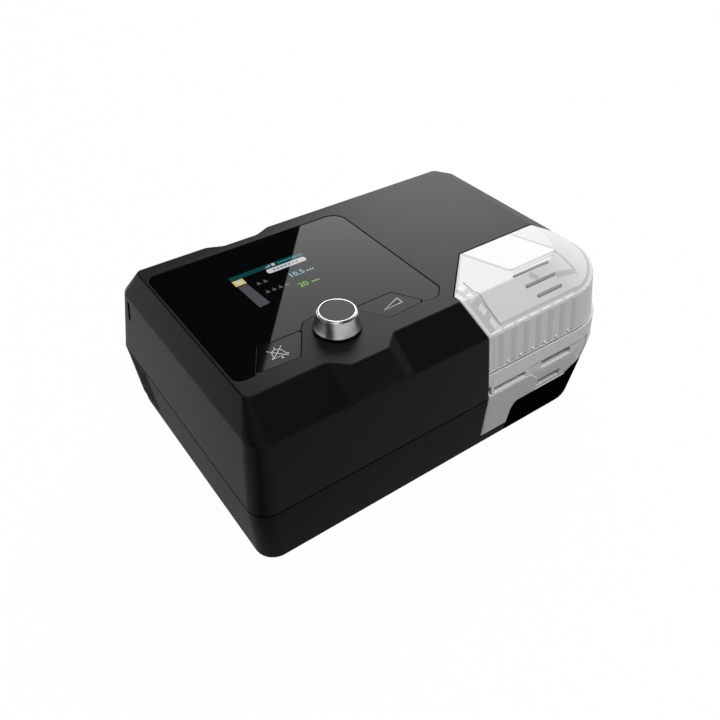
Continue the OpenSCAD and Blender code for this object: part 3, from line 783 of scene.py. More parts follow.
@dataclass
class Form:
    """The faceted, rounded body that the casing and the chamber are cut from."""

    width: float = 265.0
    depth: float = 177.2
    top: float = 103.5
    belt: float = 86.0
    shoulder: float = 91.7
    seam: float = 44.5
    foot: float = 0.3
    corner: float = 11.5
    flare: Corner = (6.7, 5.4, 7.1)
    tuck: Corner = (5.5, 4.2, 9.0)
    chamfer: Corner = (17.0, 7.0, 22.2)
    end: float = 40.0
    back: float = 12.0
    bump_x: tuple[float, ...] = (-75.4, -65.6, -42.9, -33.3)
    bump_belt: tuple[float, ...] = (-71.5, -63.5, -37.0, -30.5)
    bump: float = 8.8
    notch: float = 4.4
    belt_soft: float = 1.3
    top_soft: float = 1.0
    arc: int = 20

    def _corner(self, cx: float, cy: float, r: float, start: float, z0: float, z1: float
                ) -> list[Vector]:
        """Points of one round corner, rising from z0 to z1."""
        made = []
        for k in range(self.arc + 1):
            a = math.radians(90 * k / self.arc)
            b = a + math.radians(start)
            made.append(Vector((cx + r * math.cos(b), cy + r * math.sin(b),
                                z0 + (z1 - z0) * math.sin(a) ** 2)))
        return made

    @staticmethod
    def _facets(points: list[Vector], soft: float) -> list[Vector]:
        """Round the four inner corners of a facet line, whose ends are kept out."""
        made = []
        for i in range(1, len(points) - 1):
            here = points[i]
            a = here + (points[i - 1] - here).normalized() * soft
            b = here + (points[i + 1] - here).normalized() * soft
            made += bezier(a, here, b, 4)
        return made

    def _ring(self, x0: float, x1: float, y0: float, y1: float, radii: Corner, zf: float,
              zr: float, bx: Sequence[float], bump: float, notch: float) -> list[Vector]:
        """One closed ring, anticlockwise from above.

        Args:
            x0: Left limit.
            x1: Right limit.
            y0: Front limit.
            y1: Back limit.
            radii: Corner radii: left, front right, back right.
            zf: Height along the front, left and back.
            zr: Height along the right.
            bx: Corners of the facets round the knob.
            bump: How far the front facets stand out.
            notch: How far the back ones go in.

        Returns:
            The ring's points.
        """
        rl, rf, rb = radii
        left_front = self._corner(x0 + rl, y0 + rl, rl, 180, zf, zf)
        right_front = self._corner(x1 - rf, y0 + rf, rf, 270, zf, zr)
        right_back = self._corner(x1 - rb, y1 - rb, rb, 0, zr, zf)
        left_back = self._corner(x0 + rl, y1 - rl, rl, 90, zf, zf)
        front = [Vector((bx[0], y0, zf)), Vector((bx[1], y0 - bump, zf)),
                 Vector((bx[2], y0 - bump, zf)), Vector((bx[3], y0, zf))]
        rear = [Vector((bx[3], y1, zf)), Vector((bx[2], y1 - notch, zf)),
                Vector((bx[1], y1 - notch, zf)), Vector((bx[0], y1, zf))]
        front = self._facets([left_front[-1]] + front + [right_front[0]], 1.6)
        rear = self._facets([right_back[-1]] + rear + [left_back[0]], 1.6)
        return left_front + front + right_front + right_back + rear + left_back

    def rings(self, t: float = 0.0) -> list[list[Vector]]:
        """Floor, seam, belt and top rings, drawn in by t.

        Args:
            t: How far inside the outer skin.

        Returns:
            The four rings from low to high.
        """
        w, d = self.width / 2, self.depth / 2
        fy, fl, fr = self.flare
        ty, tl, tr = self.tuck
        cy, cl, cr = self.chamfer
        rl, rb = self.corner - t / 2, self.back - t / 2
        return [
            self._ring(tl - w + t, w - tr - t, ty - d + t, d - ty - t, (rl, self.end - 8 - t, rb),
                       t, t, self.bump_belt, 0, 0),
            self._ring(t - w, w - t, t - d, d - t, (rl, self.end - t, rb), self.seam, self.seam,
                       self.bump_belt, 0, 0),
            self._ring(fl - w + t, w - fr - t, fy - d + t, d - fy - t,
                       (rl, self.end - 6.5 - t, rb), self.belt - 0.4 * t,
                       self.shoulder - 0.6 * t, self.bump_belt, 0, 0),
            self._ring(fl + cl - w + 0.7 * t, w - fr - cr - 0.25 * t, fy + cy - d + 0.4 * t,
                       d - fy - cy - 0.4 * t, (3.8, 31.3 - 0.3 * t, 4), self.top - t,
                       self.top - t, self.bump_x, self.bump, self.notch),
        ]

    @staticmethod
    def _inward(ring: list[Vector], width: float) -> list[Vector]:
        """A ring set in by a width at its own height."""
        flat = outset([(p.x, p.y, 0) for p in ring], -width)
        return [Vector((x, y, p.z)) for (x, y, _), p in zip(flat, ring)]

    def solid(self, low: float = 0.0, high: float = FAR, t: float = 0.0, low_soft: float = 0.0
              ) -> Solid:
        """The body between two heights.

        Args:
            low: Lower height.
            high: Upper height.
            t: How far inside the outer skin; only the skin itself has soft edges.
            low_soft: Rounding at the lower edge.

        Returns:
            The solid.
        """
        rings = self.rings(t)
        top = self.top - t
        columns = [self._column([r[i] for r in rings], low, min(high, top), t)
                   for i in range(len(rings[0]))]
        rows = [[column[k] for column in columns] for k in range(len(columns[0]))]
        if low_soft:
            inner = self._inward(rows[0], low_soft)
            up = [a + (b - a).normalized() * low_soft for a, b in zip(rows[0], rows[1])]
            edge = [bezier(a, b, c, 3) for a, b, c in zip(inner, rows[0], up)]
            rows = [[e[k] for e in edge] for k in range(4)] + rows[1:]
        if high > top and not t:
            inner = self._inward(rows[-1], self.top_soft)
            down = [a + (b - a).normalized() * self.top_soft for a, b in zip(rows[-1], rows[-2])]
            edge = [bezier(a, b, c, 4) for a, b, c in zip(down, rows[-1], inner)]
            rows = rows[:-1] + [[e[k] for e in edge] for k in range(5)]
        return Solid.loft(rows)

    def _column(self, stops: list[Vector], low: float, high: float, t: float) -> list[Vector]:
        """Points up one side of the body, clipped to two heights.

        Args:
            stops: Its floor, seam, belt and top points.
            low: Lower height.
            high: Upper height.
            t: Inset; zero rounds the belt.

        Returns:
            The points from low to high.
        """
        floor, seam, belt, top = stops

        def between(a: Vector, b: Vector, z: float) -> Vector:
            return a + (b - a) * ((z - a.z) / (b.z - a.z))

        if high <= self.seam:
            return [between(floor, seam, low), between(floor, seam, high)]
        lower = [between(floor, seam, low), seam.copy()] if low < self.seam - 0.01 else [
            between(seam, belt, low)]
        if high < belt.z - 4:
            return lower + [between(seam, belt, high)]
        if t:
            return lower + [belt.copy(), top.copy()]
        edge = bezier(belt + (seam - belt).normalized() * self.belt_soft, belt,
                      belt + (top - belt).normalized() * self.belt_soft, 7)
        return lower + edge + [top.copy()]


@dataclass
class Bay:
    """The space in the front corner that the chamber slides into."""

    form: Form
    tray: float = 7.3
    mouth: float = 20.1
    left: float = 12.4
    lean: float = 3.1
    depth: float = 60.8
    gap: float = 0.5

    @property
    def back(self) -> float:
        """Where its back wall stands in y."""
        return self.depth - self.form.depth / 2

    def solid(self, g: float = 0.0) -> Solid:
        """The space, grown by g.

        Args:
            g: How far it grows; negative for what slides into it.

        Returns:
            The solid, open to the front, right and top.
        """
        front = -self.form.depth / 2
        rows = []
        for z, lean in ((self.tray - g, self.lean), (self.form.seam, 0.0), (FAR, 0.0)):
            rows.append([
                (self.mouth - g + lean, front + 6.7 - 0.2 * g, z),
                (self.mouth - g + lean, -FAR, z), (FAR, -FAR, z), (FAR, self.back + g, z),
                (self.left + 31.5 - 0.41 * g, self.back + g, z),
                (self.left - g + lean, self.back - 31 + 0.41 * g, z),
                (self.left - g + lean, front + 23.5 - 0.2 * g, z)])
        return Solid.loft(rows)


# --- Casing --------------------------------------------------------------------------------------

@dataclass
class Deck:
    """Display lens, keys and knob on the casing's flat top."""

    form: Form
    lens_drop: float = 0.3
    lens_thick: float = 2.0
    slit: float = 0.22
    cap_low: float = 97.4
    flange_low: float = 96.6
    post_low: float = 95.5
    knob: Flat = (-54.7, -44.7)
    knob_radius: float = 12.9
    knob_top: float = 114.8
    lens: tuple[Corner, ...] = (
        (-118.2, -53, 5), (-107.65, -53, 0.6), (-96.85, -35.1, 1), (-71.3, -35.4, 0.8),
        (-66.9, -30.3, 1.5), (-60, -29.3, 1.5), (-49.4, -29.3, 1.5), (-42.5, -30.3, 1.5),
        (-38.1, -35.4, 0.8), (-12.6, -35.1, 1), (-1.8, -53.2, 0.6), (6.5, -53.2, 3.5),
        (12.4, -47, 4.5), (12.4, 54.4, 9.5), (-118.2, 54.4, 6))
    key: tuple[Corner, ...] = ((-107.0, -52.3, 2), (-82.6, -53.6, 2), (-71.0, -35.65, 1.2),
                               (-96.7, -35.35, 1.5))

    @property
    def top(self) -> float:
        """Height of the lens and the keys."""
        return self.form.top - self.lens_drop

    def pockets(self) -> list[Solid]:
        """What the deck takes out of the casing.

        Returns:
            The cutters.
        """
        low = self.top - self.lens_thick
        keys = [self.key, tuple(mirrored(self.key, self.knob[0]))]
        cuts = [Solid.prism(rounded(outset(self.lens, self.slit)), low, FAR)]
        cuts += [Solid.prism(rounded(outset(k, self.slit)), low - 6, FAR) for k in keys]
        cuts.append(Solid.prism(circle(self.knob, 6, 64), low - 8, FAR))
        return cuts

    def build(self) -> None:
        """Make the lens, the keys, their marks and the knob."""
        top = self.top
        lens = Solid.prism(rounded(self.lens), top - self.lens_thick, top, 0.25)
        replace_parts(lens.piece("front_lens", LENS, "base", angle=40), "display_lens")
        self._key(self.key, "mute", (-88.9, -44.2))
        self._key(tuple(mirrored(self.key, self.knob[0])), "ramp", (-20.5, -44.2))
        self._mute_mark()
        self._ramp_mark()
        self._knob()
        Screen(top).build()

    def _key(self, outline: Sequence[Corner], body: str, middle: Flat) -> None:
        """Make one key cap with its flange and post."""
        cap = Solid.prism(rounded(outline), self.cap_low, self.top, 0.25)
        flange = Solid.prism(rounded(outset(outline, 1.2)), self.flange_low, self.cap_low + 0.2)
        post = Solid.prism(circle(middle, 3, 32), self.post_low, self.flange_low + 0.4)
        cap.join(flange, post)
        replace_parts(cap.piece(f"{body}_cap", KEY, body, angle=40), f"{body}_key")

    def _print(self, name: str, lines: Iterable[tuple[Sequence[Flat], bool]], width: float,
               body: str) -> None:
        """Print lines on a key.

        Args:
            name: Name of the piece.
            lines: Each line's points, and whether it is closed.
            width: Width of the lines.
            body: Key that they are on.
        """
        parts = []
        for path, closed in lines:
            for quad in ribbon(path, width, closed):
                parts.append(Solid.prism(quad, self.top - 0.01, self.top + 0.03))
        merged(name, parts, INK, body)

    def _mute_mark(self) -> None:
        """A bell that is crossed out."""
        cx, cy = -90.3, -44.6
        bell = [(-4.8, -2.6), (-3.3, -1.4), (-2.9, 1.0), (-1.7, 2.7), (0, 3.3), (1.7, 2.7),
                (2.9, 1.0), (3.3, -1.4), (4.7, -2.8)]
        lines = [(bell, True), (circle((0.3, -4.2), 0.4, 12), True), ([(0.2, 3.3), (0.4, 5.0)],
                 False), ([(-4.1, 4.2), (3.8, -4.3)], False), ([(4.4, 4.3), (-4.4, -3.1)], False)]
        self._print("mute_mark", [([(cx + x, cy + y) for x, y in path], closed)
                                  for path, closed in lines], 0.3, "mute")

    def _ramp_mark(self) -> None:
        """A long triangle that rises to the right."""
        self._print("ramp_mark", [([(-25.5, -46.6), (-13.2, -46.3), (-13.3, -41.6)], True)],
                    0.38, "ramp")

    def _knob(self) -> None:
        """Turn the flared shell, its bright edge and the disc let into it, and lay a black ring of
        painted shadow under its skirt.
        """
        r, top, low = self.knob_radius, self.knob_top, self.form.top + 0.9
        flare = [(0.8, 0), (0.3, 0.15), (0.05, 0.5), (0, 0.9), (0.28, 1.5), (0.58, 2.3),
                 (0.84, 3.1), (1.12, 4.1), (1.4, 5.2), (1.66, 6.3), (1.88, 7.3), (2.16, 8.9)]
        outer = [(r - d, low + h) for d, h in flare]
        inner = [(r - 3.3, low + 8.9), (r - 3.3, top - 2.2), (6, top - 2.2), (6, low + 1.6),
                 (r - 2.2, low + 1.6), (r - 2.2, low)]
        shell = Solid.turned(outer + inner, self.knob)
        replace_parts(shell.piece("knob_skirt", KNOB, "knob", angle=60), "knob_shell")
        edge = Solid.turned([(r - 3.9, low + 8.9), (r - 2.18, low + 8.9), (r - 2.18, top - 1.12),
                             (r - 2.26, top - 0.98), (r - 2.74, top - 0.52), (r - 2.8, top - 0.64),
                             (r - 2.86, top - 0.6), (r - 2.9, top - 0.32), (r - 3.04, top - 0.12),
                             (r - 3.22, top - 0.02), (r - 3.4, top), (r - 3.58, top - 0.05),
                             (r - 3.74, top - 0.18), (r - 3.84, top - 0.4)], self.knob)
        edge.piece("knob_edge", KNOB_EDGE, "knob", angle=60)
        disc = Solid.turned([(0.02, top - 1.6), (r - 3.88, top - 1.6), (r - 3.88, top - 0.42),
                             (r - 4.0, top - 0.3), (5.0, top - 0.34), (0.02, top - 0.36)],
                            self.knob)
        # Painted shadow: a thin black ring on the deck under the knob's skirt, where its shade and
        # the gap fall.
        ring = Solid.turned([(6.3, self.form.top - 0.3), (r + 0.1, self.form.top - 0.3),
                             (r + 0.1, self.form.top + 0.08), (6.3, self.form.top + 0.08)],
                            self.knob)
        ring.piece("knob_painted_shadow", GRIP_BLACK_AND_SHADE, "base")
        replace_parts(disc.piece("knob_inlay", KNOB_DISC, "knob", angle=50), "knob_disc")


@dataclass
class Screen:
    """What the lit panel shows, drawn just over the lens's face."""

    top: float
    lift: float = 0.02

    def _flat(self, name: str, outlines: Iterable[Sequence[Flat]], finish: Finish,
              level: int = 0) -> None:
        """Lay flat shapes on the lens.

        Args:
            name: Name of the piece.
            outlines: The shapes, anticlockwise.
            finish: Their material.
            level: Which layer they lie in, from the lens up.
        """
        base = self.top + self.lift * level
        merged(name, [Solid.prism(o, base - 0.01, base + self.lift) for o in outlines], finish,
               "base")

    def _figures(self, name: str, text: str, at: Flat, size: float, finish: Finish) -> None:
        """Set figures in the lit panel.

        Args:
            name: Name of the piece.
            text: The figures.
            at: Where they start.
            size: Height of the font.
            finish: Their material.
        """
        curve = bpy.data.curves.new(name, "FONT")
        curve.body = text
        curve.size = size
        curve.extrude = 0.015
        curve.offset = 0.06
        curve.space_character = 1.05
        holder = put(name, curve)
        mesh = baked(holder)
        bpy.data.objects.remove(holder)
        bpy.data.curves.remove(curve)
        mesh.transform(Matrix.Translation((at[0], at[1], self.top + 0.02)))
        mesh.transform(Matrix.Scale(MM, 4))
        mesh.materials.clear()
        mesh.materials.append(finish.material())
        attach(put(name, mesh), "base")

    def build(self) -> None:
        """Draw the bar, the sidebar, the pill, the figures and the small signs."""
        box = lambda a, b, c, d, r=0.0: rounded([(a, b, r), (c, b, r), (c, d, r), (a, d, r)])
        self._flat("screen_bar", [box(-80.0, 24.3, -31.6, 28.2)], TEAL)
        self._flat("screen_tab", [box(-80.0, 18.2, -73.3, 23.8)], YELLOW)
        self._flat("screen_tab_face", [circle((-76.6, 21.0), 2.0, 28)], WHITE, 1)
        self._flat("screen_side", [[(-78.7, -6.1), (-71.9, -5.4), (-73.7, 17.4),
                                    (-79.5, 17.2)]], GREY)
        self._flat("screen_pill", [box(-58.5, 19.0, -32.6, 23.5, 1.7)], WHITE)
        marks = [box(-54.6 + 2.5 * i, 20.5, -52.9 + 2.5 * i, 22.0) for i in range(7)]
        self._flat("screen_pill_marks", marks, DIM, 1)
        steps = [box(-57.6 + 1.0 * i, 25.0, -56.9 + 1.0 * i, 25.6 + 0.6 * i) for i in range(4)]
        self._flat("screen_signal", steps, BLUE, 1)
        self._flat("screen_card", [box(-52.8, 25.1, -50.7, 27.5, 0.4)], WHITE, 1)
        marks = [box(-48.8 + 1.9 * i, 25.4, -47.5 + 1.9 * i, 26.9) for i in range(9)]
        self._flat("screen_bar_marks", marks, AQUA, 1)
        marks = []
        for x, y, count in ((-69.4, 12.8, 2), (-69.2, 3.1, 4)):
            for i in range(count):
                a = x + 4.1 * i
                marks += ribbon([(a, y + 0.3), (a + 2.6, y + 0.3)], 0.32)
                marks += ribbon([(a + 0.2, y + 1.5), (a + 2.4, y + 1.5)], 0.32)
                marks += ribbon([(a + 1.3, y + 0.5), (a + 1.3, y + 2.8)], 0.32)
        self._flat("screen_signs", marks, DIM)
        self._figures("screen_pressure", "10.5", (-50.5, 8.7), 5.7, BLUE)
        self._figures("screen_minutes", "20", (-50.8, -2.7), 5.7, GREEN)
        for name, x, y, finish in (("a", -39.2, 8.9, BLUE), ("b", -42.6, -2.2, GREEN)):
            marks = [box(x + 1.8 * i, y, x + 1.2 + 1.8 * i, y + 1.3) for i in range(3)]
            self._flat(f"screen_unit_{name}", marks, finish)


@dataclass
class Casing:
    """Upper and lower casing with the openings in their walls."""

    form: Form
    bay: Bay
    deck: Deck
    wall: float = 2.4
    gap: float = 0.3
    port_z: float = 78.0
    port_r: float = 9.4
    ports: Flat = (54.0, 98.0)
    outlet_z: float = 58.5
    outlet_r: float = 12.8
    screw_r: float = 3.2
    foot_r: float = 6.6
    socket: Corner = (24.0, 78.0, 15.0)
    socket_r: float = 4.5
    grip: "Grip | None" = None
    screws: tuple[Flat, ...] = ((-110, -66), (-2, -70), (-98, 74), (76, 75.5))
    feet: tuple[Flat, ...] = ((-100, -62), (10, -70), (-100, 58), (100, 58), (0, 0))

    def build(self) -> None:
        """Make both casings."""
        self._upper()
        self._lower()

    def _upper(self) -> None:
        """The top shell with its deck, ports and card slot."""
        seam = self.form.seam
        shell = self.form.solid(seam, FAR, low_soft=0.35)
        room = self.form.solid(seam - 2, FAR, t=self.wall)
        room.cut(self.bay.solid(self.wall),
                 Solid.block((-121, -56, self.deck.top - 3.5), (15, 58, FAR)))
        shell.cut(room, self.bay.solid(), *self.deck.pockets())
        for x in self.ports:
            shell.cut(Solid.bar_y((x, self.bay.back - 5, self.port_z), self.port_r, 12))
        shell.cut(Solid.bar_y((self.ports[1], 60, self.outlet_z), self.outlet_r, 60),
                  Solid.block((-FAR, 66, 71), (-120, 69, 83)))
        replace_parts(shell.piece("top_shell", CASING, "base", 0.3), "upper_casing")

    def _lower(self) -> None:
        """The base shell, with the corner that the grip block fills."""
        seam, foot = self.form.seam, self.form.foot
        shell = self.form.solid(foot, seam - self.gap, low_soft=0.9)
        room = self.form.solid(foot + self.wall, seam + 2, t=self.wall)
        room.cut(Solid.block((41.5, -FAR, 0), (FAR, -57.1, self.bay.tray)))
        shell.cut(room, self.bay.solid())
        shell.cut(self.grip.zone(self.bay.gap))
        for x, y in self.screws:
            shell.cut(Solid.prism(circle((x, y), self.screw_r, 32), -1, 6))
        for x, y in self.feet:
            shell.cut(Solid.prism(circle((x, y), self.foot_r, 48), -1, foot + 1))
        shell.cut(Solid.block((-FAR, 46.8, 5.4), (-118, 78, 43.4)),
                  Solid.bar_y(self.socket, self.socket_r, 20))
        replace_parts(shell.piece("base_shell", BASE, "base", 0.3), "lower_casing")


@dataclass
class Louvres:
    """Cover over the air filter, low on the left wall."""

    form: Form
    y0: float = 47.1
    y1: float = 77.7
    low: float = 5.7
    high: float = 43.1
    slats: int = 6
    pitch: float = 4.0

    def _edge(self, z: float) -> float:
        """Where the left wall stands at a height."""
        return self.form.tuck[1] * (1 - z / self.form.seam) - self.form.width / 2

    def build(self) -> None:
        """Make the frame with its slots, and the pleated filter behind it."""
        outline = [(self._edge(self.low) + 2, self.low), (self._edge(self.high) + 2, self.high),
                   (self._edge(self.high) + 0.02, self.high), (self._edge(self.low) + 0.02,
                                                               self.low)]
        cover = Solid.along_y(outline, self.y0, self.y1)
        slot = Solid.block((-FAR, 51, 8), (-100, 51 + self.pitch / 2, 41))
        cover.cut(Row.of(slot, BASE, self.slats, (0, self.pitch, 0)))
        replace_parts(cover.piece("louvre_cover", BASE, "cover", 0.35), "filter_cover")
        pleat = Solid.prism([(-125, 49.1), (-118.2, 50.05), (-118.2, 50.35), (-125, 51.3),
                             (-125, 50.9), (-119.2, 50.2), (-125, 49.5)], 8, 41)
        filter_ = Row.of(pleat, FELT, 11, (0, 2.24, 0))
        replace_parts(filter_.piece("pleated_filter", FELT, "base"), "air_filter")


# --- Water chamber -------------------------------------------------------------------------------

@dataclass
class Grip:
    """Black block at the bottom of the chamber, which the hand pulls."""

    form: Form
    bay: Bay
    left: float = 44.4
    back: float = -60.0
    high: float = 26.8
    end_x: float = 112.0
    end_y: float = -42.0

    def zone(self, g: float = 0.0) -> Solid:
        """The corner of the base that belongs to the block.

        Args:
            g: How far it grows.

        Returns:
            The solid.
        """
        left, high = self.left, self.high
        outline = rounded([(left - g, -20, 0), (FAR, -20, 0), (FAR, high + 3.7 + g, 0),
                           (left + 52, high + 3.7 + g, 2.0), (left + 46.4, high + g, 2.0),
                           (left + 3.0 - g, high + g, 3.2), (left + 0.9 - g, high - 6, 6.0)], 6)
        front = Solid.along_y(outline, -FAR, self.back + g)
        side = Solid.along_y(outline, -FAR, self.end_y + g)
        side.meet(Solid.block((self.end_x - g, -FAR, -50), (FAR + 9, FAR, FAR)))
        return front.join(side)

    def build(self) -> None:
        """Make the hollow block with its ribs."""
        block = self.form.solid(self.form.foot, self.high + 8, low_soft=0.6)
        block.meet(self.zone()).meet(Solid.block((20, -FAR, -10), (FAR, self.bay.back - 0.5,
                                                                   FAR)))
        room = self.form.solid(0.2, self.high - 2.4, t=2.4)
        room.meet(Solid.block((self.left + 3.4, -FAR, -10), (FAR, self.back - 2.4, FAR)))
        for x in (66, 88):
            room.cut(Solid.block((x, -FAR, -10), (x + 2, FAR, FAR)))
        block.cut(room)
        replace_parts(block.piece("pull_block", GRIP_BLACK_AND_SHADE, "chamber", 0.5, steps=3), "chamber_grip")


@dataclass
class Chamber:
    """Tub and lid of the water chamber."""

    form: Form
    bay: Bay
    grip: Grip
    wall: float = 2.2
    rim: float = 60.9
    lid_low: float = 61.6
    flange: float = 2.1
    ribs: int = 7
    pitch: float = 9.85
    ports: Flat = (54.0, 98.0)
    hinge: Corner = (130.5, -38.0, 62.1)
    knuckle_r: float = 2.0
    knuckle_room: float = 2.3
    lip_low: float = 46.0
    step_end: float = 106.0
    slots: tuple[tuple[float, ...], ...] = ((24.6, 50, 47, 50.7, -84.5),
                                            (64.3, 89.2, 46.2, 50.7, -80),
                                            (63.4, 84.4, 30, 35.4, -82))
    bars: tuple[Corner, ...] = ((52.8, 81, -64), (57.7, 81.7, -70), (62.9, 82.8, -75.4))
    skin: BVHTree | None = field(default=None, repr=False)

    def _share(self, low: float, high: float, t: float = 0.0, low_soft: float = 0.0) -> Solid:
        """The chamber's share of the body between two heights."""
        share = self.form.solid(low, high, t, low_soft)
        return share.meet(self.bay.solid(-self.bay.gap - t))

    def _knuckles(self, spans: Sequence[Flat], radius: float) -> list[Solid]:
        """Bars of the hinge barrel."""
        x, y, z = self.hinge
        return [Solid.bar_y((x, y + a, z), radius, b - a, 32) for a, b in spans]

    def build(self) -> None:
        """Make the tub, the lid and the lines that show through it."""
        self._tub()
        self._lid()
        self._lines()

    def _tub(self) -> None:
        """The tub with its moulded steps and slots."""
        low = self.bay.tray + self.bay.gap
        tub = self._share(low, self.rim, low_soft=0.6)
        room = self._share(low + self.wall, FAR, self.wall)
        room.cut(self.grip.zone(self.wall))
        for x0, x1, z0, z1, y in self.slots:
            room.cut(Solid.block((x0 - 2, -FAR, z0 - 2), (x1 + 2, y + 2, z1 + 2)))
        lip = self._share(self.lip_low, self.rim)
        rise = self.rim - self.lip_low
        lip.thing.data.transform(Matrix.Translation((0, 0, self.lip_low)) @
                                 Matrix.Shear("XY", 4, (self.flange / rise, -0.15 / rise)) @
                                 Matrix.Translation((0, -0.01, -self.lip_low)))
        tub.join(lip)
        tub.cut(room, self.grip.zone())
        step = self.form.solid(low - 2, self.rim + 4, t=-2.0)
        core = self.form.solid(low - 3, self.rim + 5, t=0.6)
        step.cut(core, Solid.along_y(
            rounded([(-FAR, -FAR, 0), (FAR, -FAR, 0), (FAR, 27, 0), (64, 27, 1), (64, 32, 1.5),
                     (62.6, 38.4, 1.5), (53.4, 47.3, 1.5), (53.4, 52, 1.5), (FAR, 52, 0),
                     (FAR, FAR, 0), (-FAR, FAR, 0)], 4), -FAR, FAR))
        step.cut(Solid.block((self.step_end, -FAR, -FAR), (FAR + 9, FAR, FAR)))
        tub.cut(step, Solid.block((19, -FAR, 46.6), (22.3, -84.6, 52.4)))
        for x0, x1, z0, z1, y in self.slots:
            outline = rounded([(x0, z0, 0.7), (x1, z0, 1.2), (x1, z1, 1.6), (x0, z1, 0.7)], 4)
            tub.cut(Solid.along_y(outline, -FAR, y))
        tub.join(*self._knuckles(((-9, -4.3), (4.3, 9)), self.knuckle_r))
        tub.cut(*self._knuckles(((-4.3, 4.3),), self.knuckle_room),
                *self._knuckles(((-10, 10),), 0.8))
        tub.cut(Solid.prism(rounded([(50.4, -55, 4), (105.6, -55, 4), (105.6, -34.4, 4),
                                     (50.4, -34.4, 4)]), 0, low + 5))
        tree = tub.tree()
        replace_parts(tub.piece("water_tub", CLEAR, "chamber", 0.35), "chamber_tub")
        # Painted shade: a thin grey line where the tub's rounded left edge turns away.
        line = [self._upright(tree, [(23.6, 59.5), (23.4, 53.5)]),
                self._upright(tree, [(22.4, 45.8), (22.6, 40), (24.9, 9.0)])]
        merged("tub_edge_shade", line, DOUBLE_WALL_AND_EDGE_SHADE, "chamber")

    @staticmethod
    def _upright(tree: BVHTree, path: Sequence[Flat], width: float = 0.5) -> Solid:
        """A narrow line of painted shade up the chamber's front, along its rounded left edge.

        Args:
            tree: Surface that it follows.
            path: Its middle line as x and z.
            width: Its width.

        Returns:
            The thin solid.
        """
        rows = []
        for x, z in path:
            row = []
            for side in (-width / 2, width / 2):
                hit = tree.ray_cast(Vector((x + side, -200, z)), Vector((0, 1, 0)))[0]
                row += [(x + side, hit.y + 0.1, z), (x + side, hit.y - 0.06, z)]
            rows.append([row[0], row[1], row[3], row[2]])
        return Solid.loft(rows)

    def _lid(self) -> None:
        """The lid with its ribs and grip bars."""
        lid = self._share(self.lid_low, FAR, low_soft=0.4)
        self.skin = lid.tree()
        # Painted shade: the same thin grey line up the lid's rounded left edge.
        line = self._upright(self.skin, [(24.2, self.lid_low + 3), (24.0, self.form.belt - 1.8)])
        merged("lid_left_edge_shade", [line], DOUBLE_WALL_AND_EDGE_SHADE, "lid")
        room = self._share(self.lid_low - 1, FAR, self.wall)
        groove = self.form.solid(self.lid_low + 1.5, self.lid_low + 2.0, t=-2.0)
        groove.cut(self.form.solid(self.lid_low, self.lid_low + 4, t=0.35))
        lid.cut(room, groove)
        lid.join(*self._knuckles(((-4, 4),), self.knuckle_r))
        lid.join(Solid.block((self.hinge[0] - 4, self.hinge[1] - 4, self.lid_low),
                             (self.hinge[0] - 0.4, self.hinge[1] + 4, self.lid_low + 1.6)))
        lid.cut(*self._knuckles(((-9, -4.1), (4.1, 9)), self.knuckle_room),
                *self._knuckles(((-10, 10),), 0.85))
        for x in self.ports:
            lid.cut(Solid.bar_y((x, self.bay.back - 6, 78), 7, 8))
        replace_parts(lid.piece("lid_shell", CLEAR, "lid", 0.45), "chamber_lid")
        self._ribs()
        self._bars()

    def _drape(self, x: float, y: float, lift: float) -> Corner:
        """Set a point on the lid from above.

        Args:
            x: Its place along the front.
            y: Its place towards the back.
            lift: How far off the surface.

        Returns:
            The point on the surface.
        """
        hit = self.skin.ray_cast(Vector((x, y, 150)), Vector((0, 0, -1)))
        if hit[0] is None or hit[0].z < self.form.belt - 2:
            near = self.skin.find_nearest(Vector((x, y, self.form.belt + 4)))
            return tuple(near[0] + near[1] * lift)
        return tuple(hit[0] + hit[1] * lift)

    def _strip(self, path: Sequence[Flat], width: float, lift: float = 0.05,
               closed: bool = False) -> Solid:
        """A flat line that follows the lid's surface, used both for walls seen through it and for
        painted highlights.

        Args:
            path: Its middle line from above.
            width: Its width.
            lift: How far it stands off.
            closed: Whether it ends where it starts.

        Returns:
            The thin solid.
        """
        dense: list[Flat] = []
        ends = list(path) + ([path[0]] if closed else [])
        for a, b in zip(ends, ends[1:]):
            reach = math.dist(a, b)
            parts = max(1, round(reach / 1.2))
            dense += [(a[0] + (b[0] - a[0]) * k / parts, a[1] + (b[1] - a[1]) * k / parts)
                      for k in range(parts)]
        if not closed:
            dense.append(ends[-1])
        verts: list[Corner] = []
        faces: list[list[int]] = []
        quads = ribbon(dense, width, closed)
        for quad in quads:
            start = len(verts)
            verts += [self._drape(x, y, lift) for x, y in quad]
            verts += [self._drape(x, y, -0.05) for x, y in quad]
            s = start
            faces += [[s, s + 1, s + 2, s + 3], [s + 7, s + 6, s + 5, s + 4]]
            faces += [[s, s + 4, s + 5, s + 1], [s + 2, s + 6, s + 7, s + 3]]
        return Solid(verts, faces)

    def _ribs(self) -> None:
        """Broad upright ribs down the lid's front, and the small beads between their feet."""
        slope = self.form.flare[0] / (self.form.belt - self.form.seam)
        front = -self.form.depth / 2
        low, high = self.lid_low + 2.6, self.form.belt - 0.9
        y_low = front + (low - self.form.seam) * slope
        y_high = front + (high - self.form.seam) * slope
        rows = []
        for inset, depth in ((0.0, 0.6), (0.0, 0.0), (1.6, -0.3)):
            rows.append([(x, (y_low if z == low else y_high) + depth, z)
                         for x, z in ((27.4 + inset, high), (32.0 - inset, high),
                                      (32.0 - inset, low), (27.4 + inset, low))])
        rib = Solid.loft(rows)
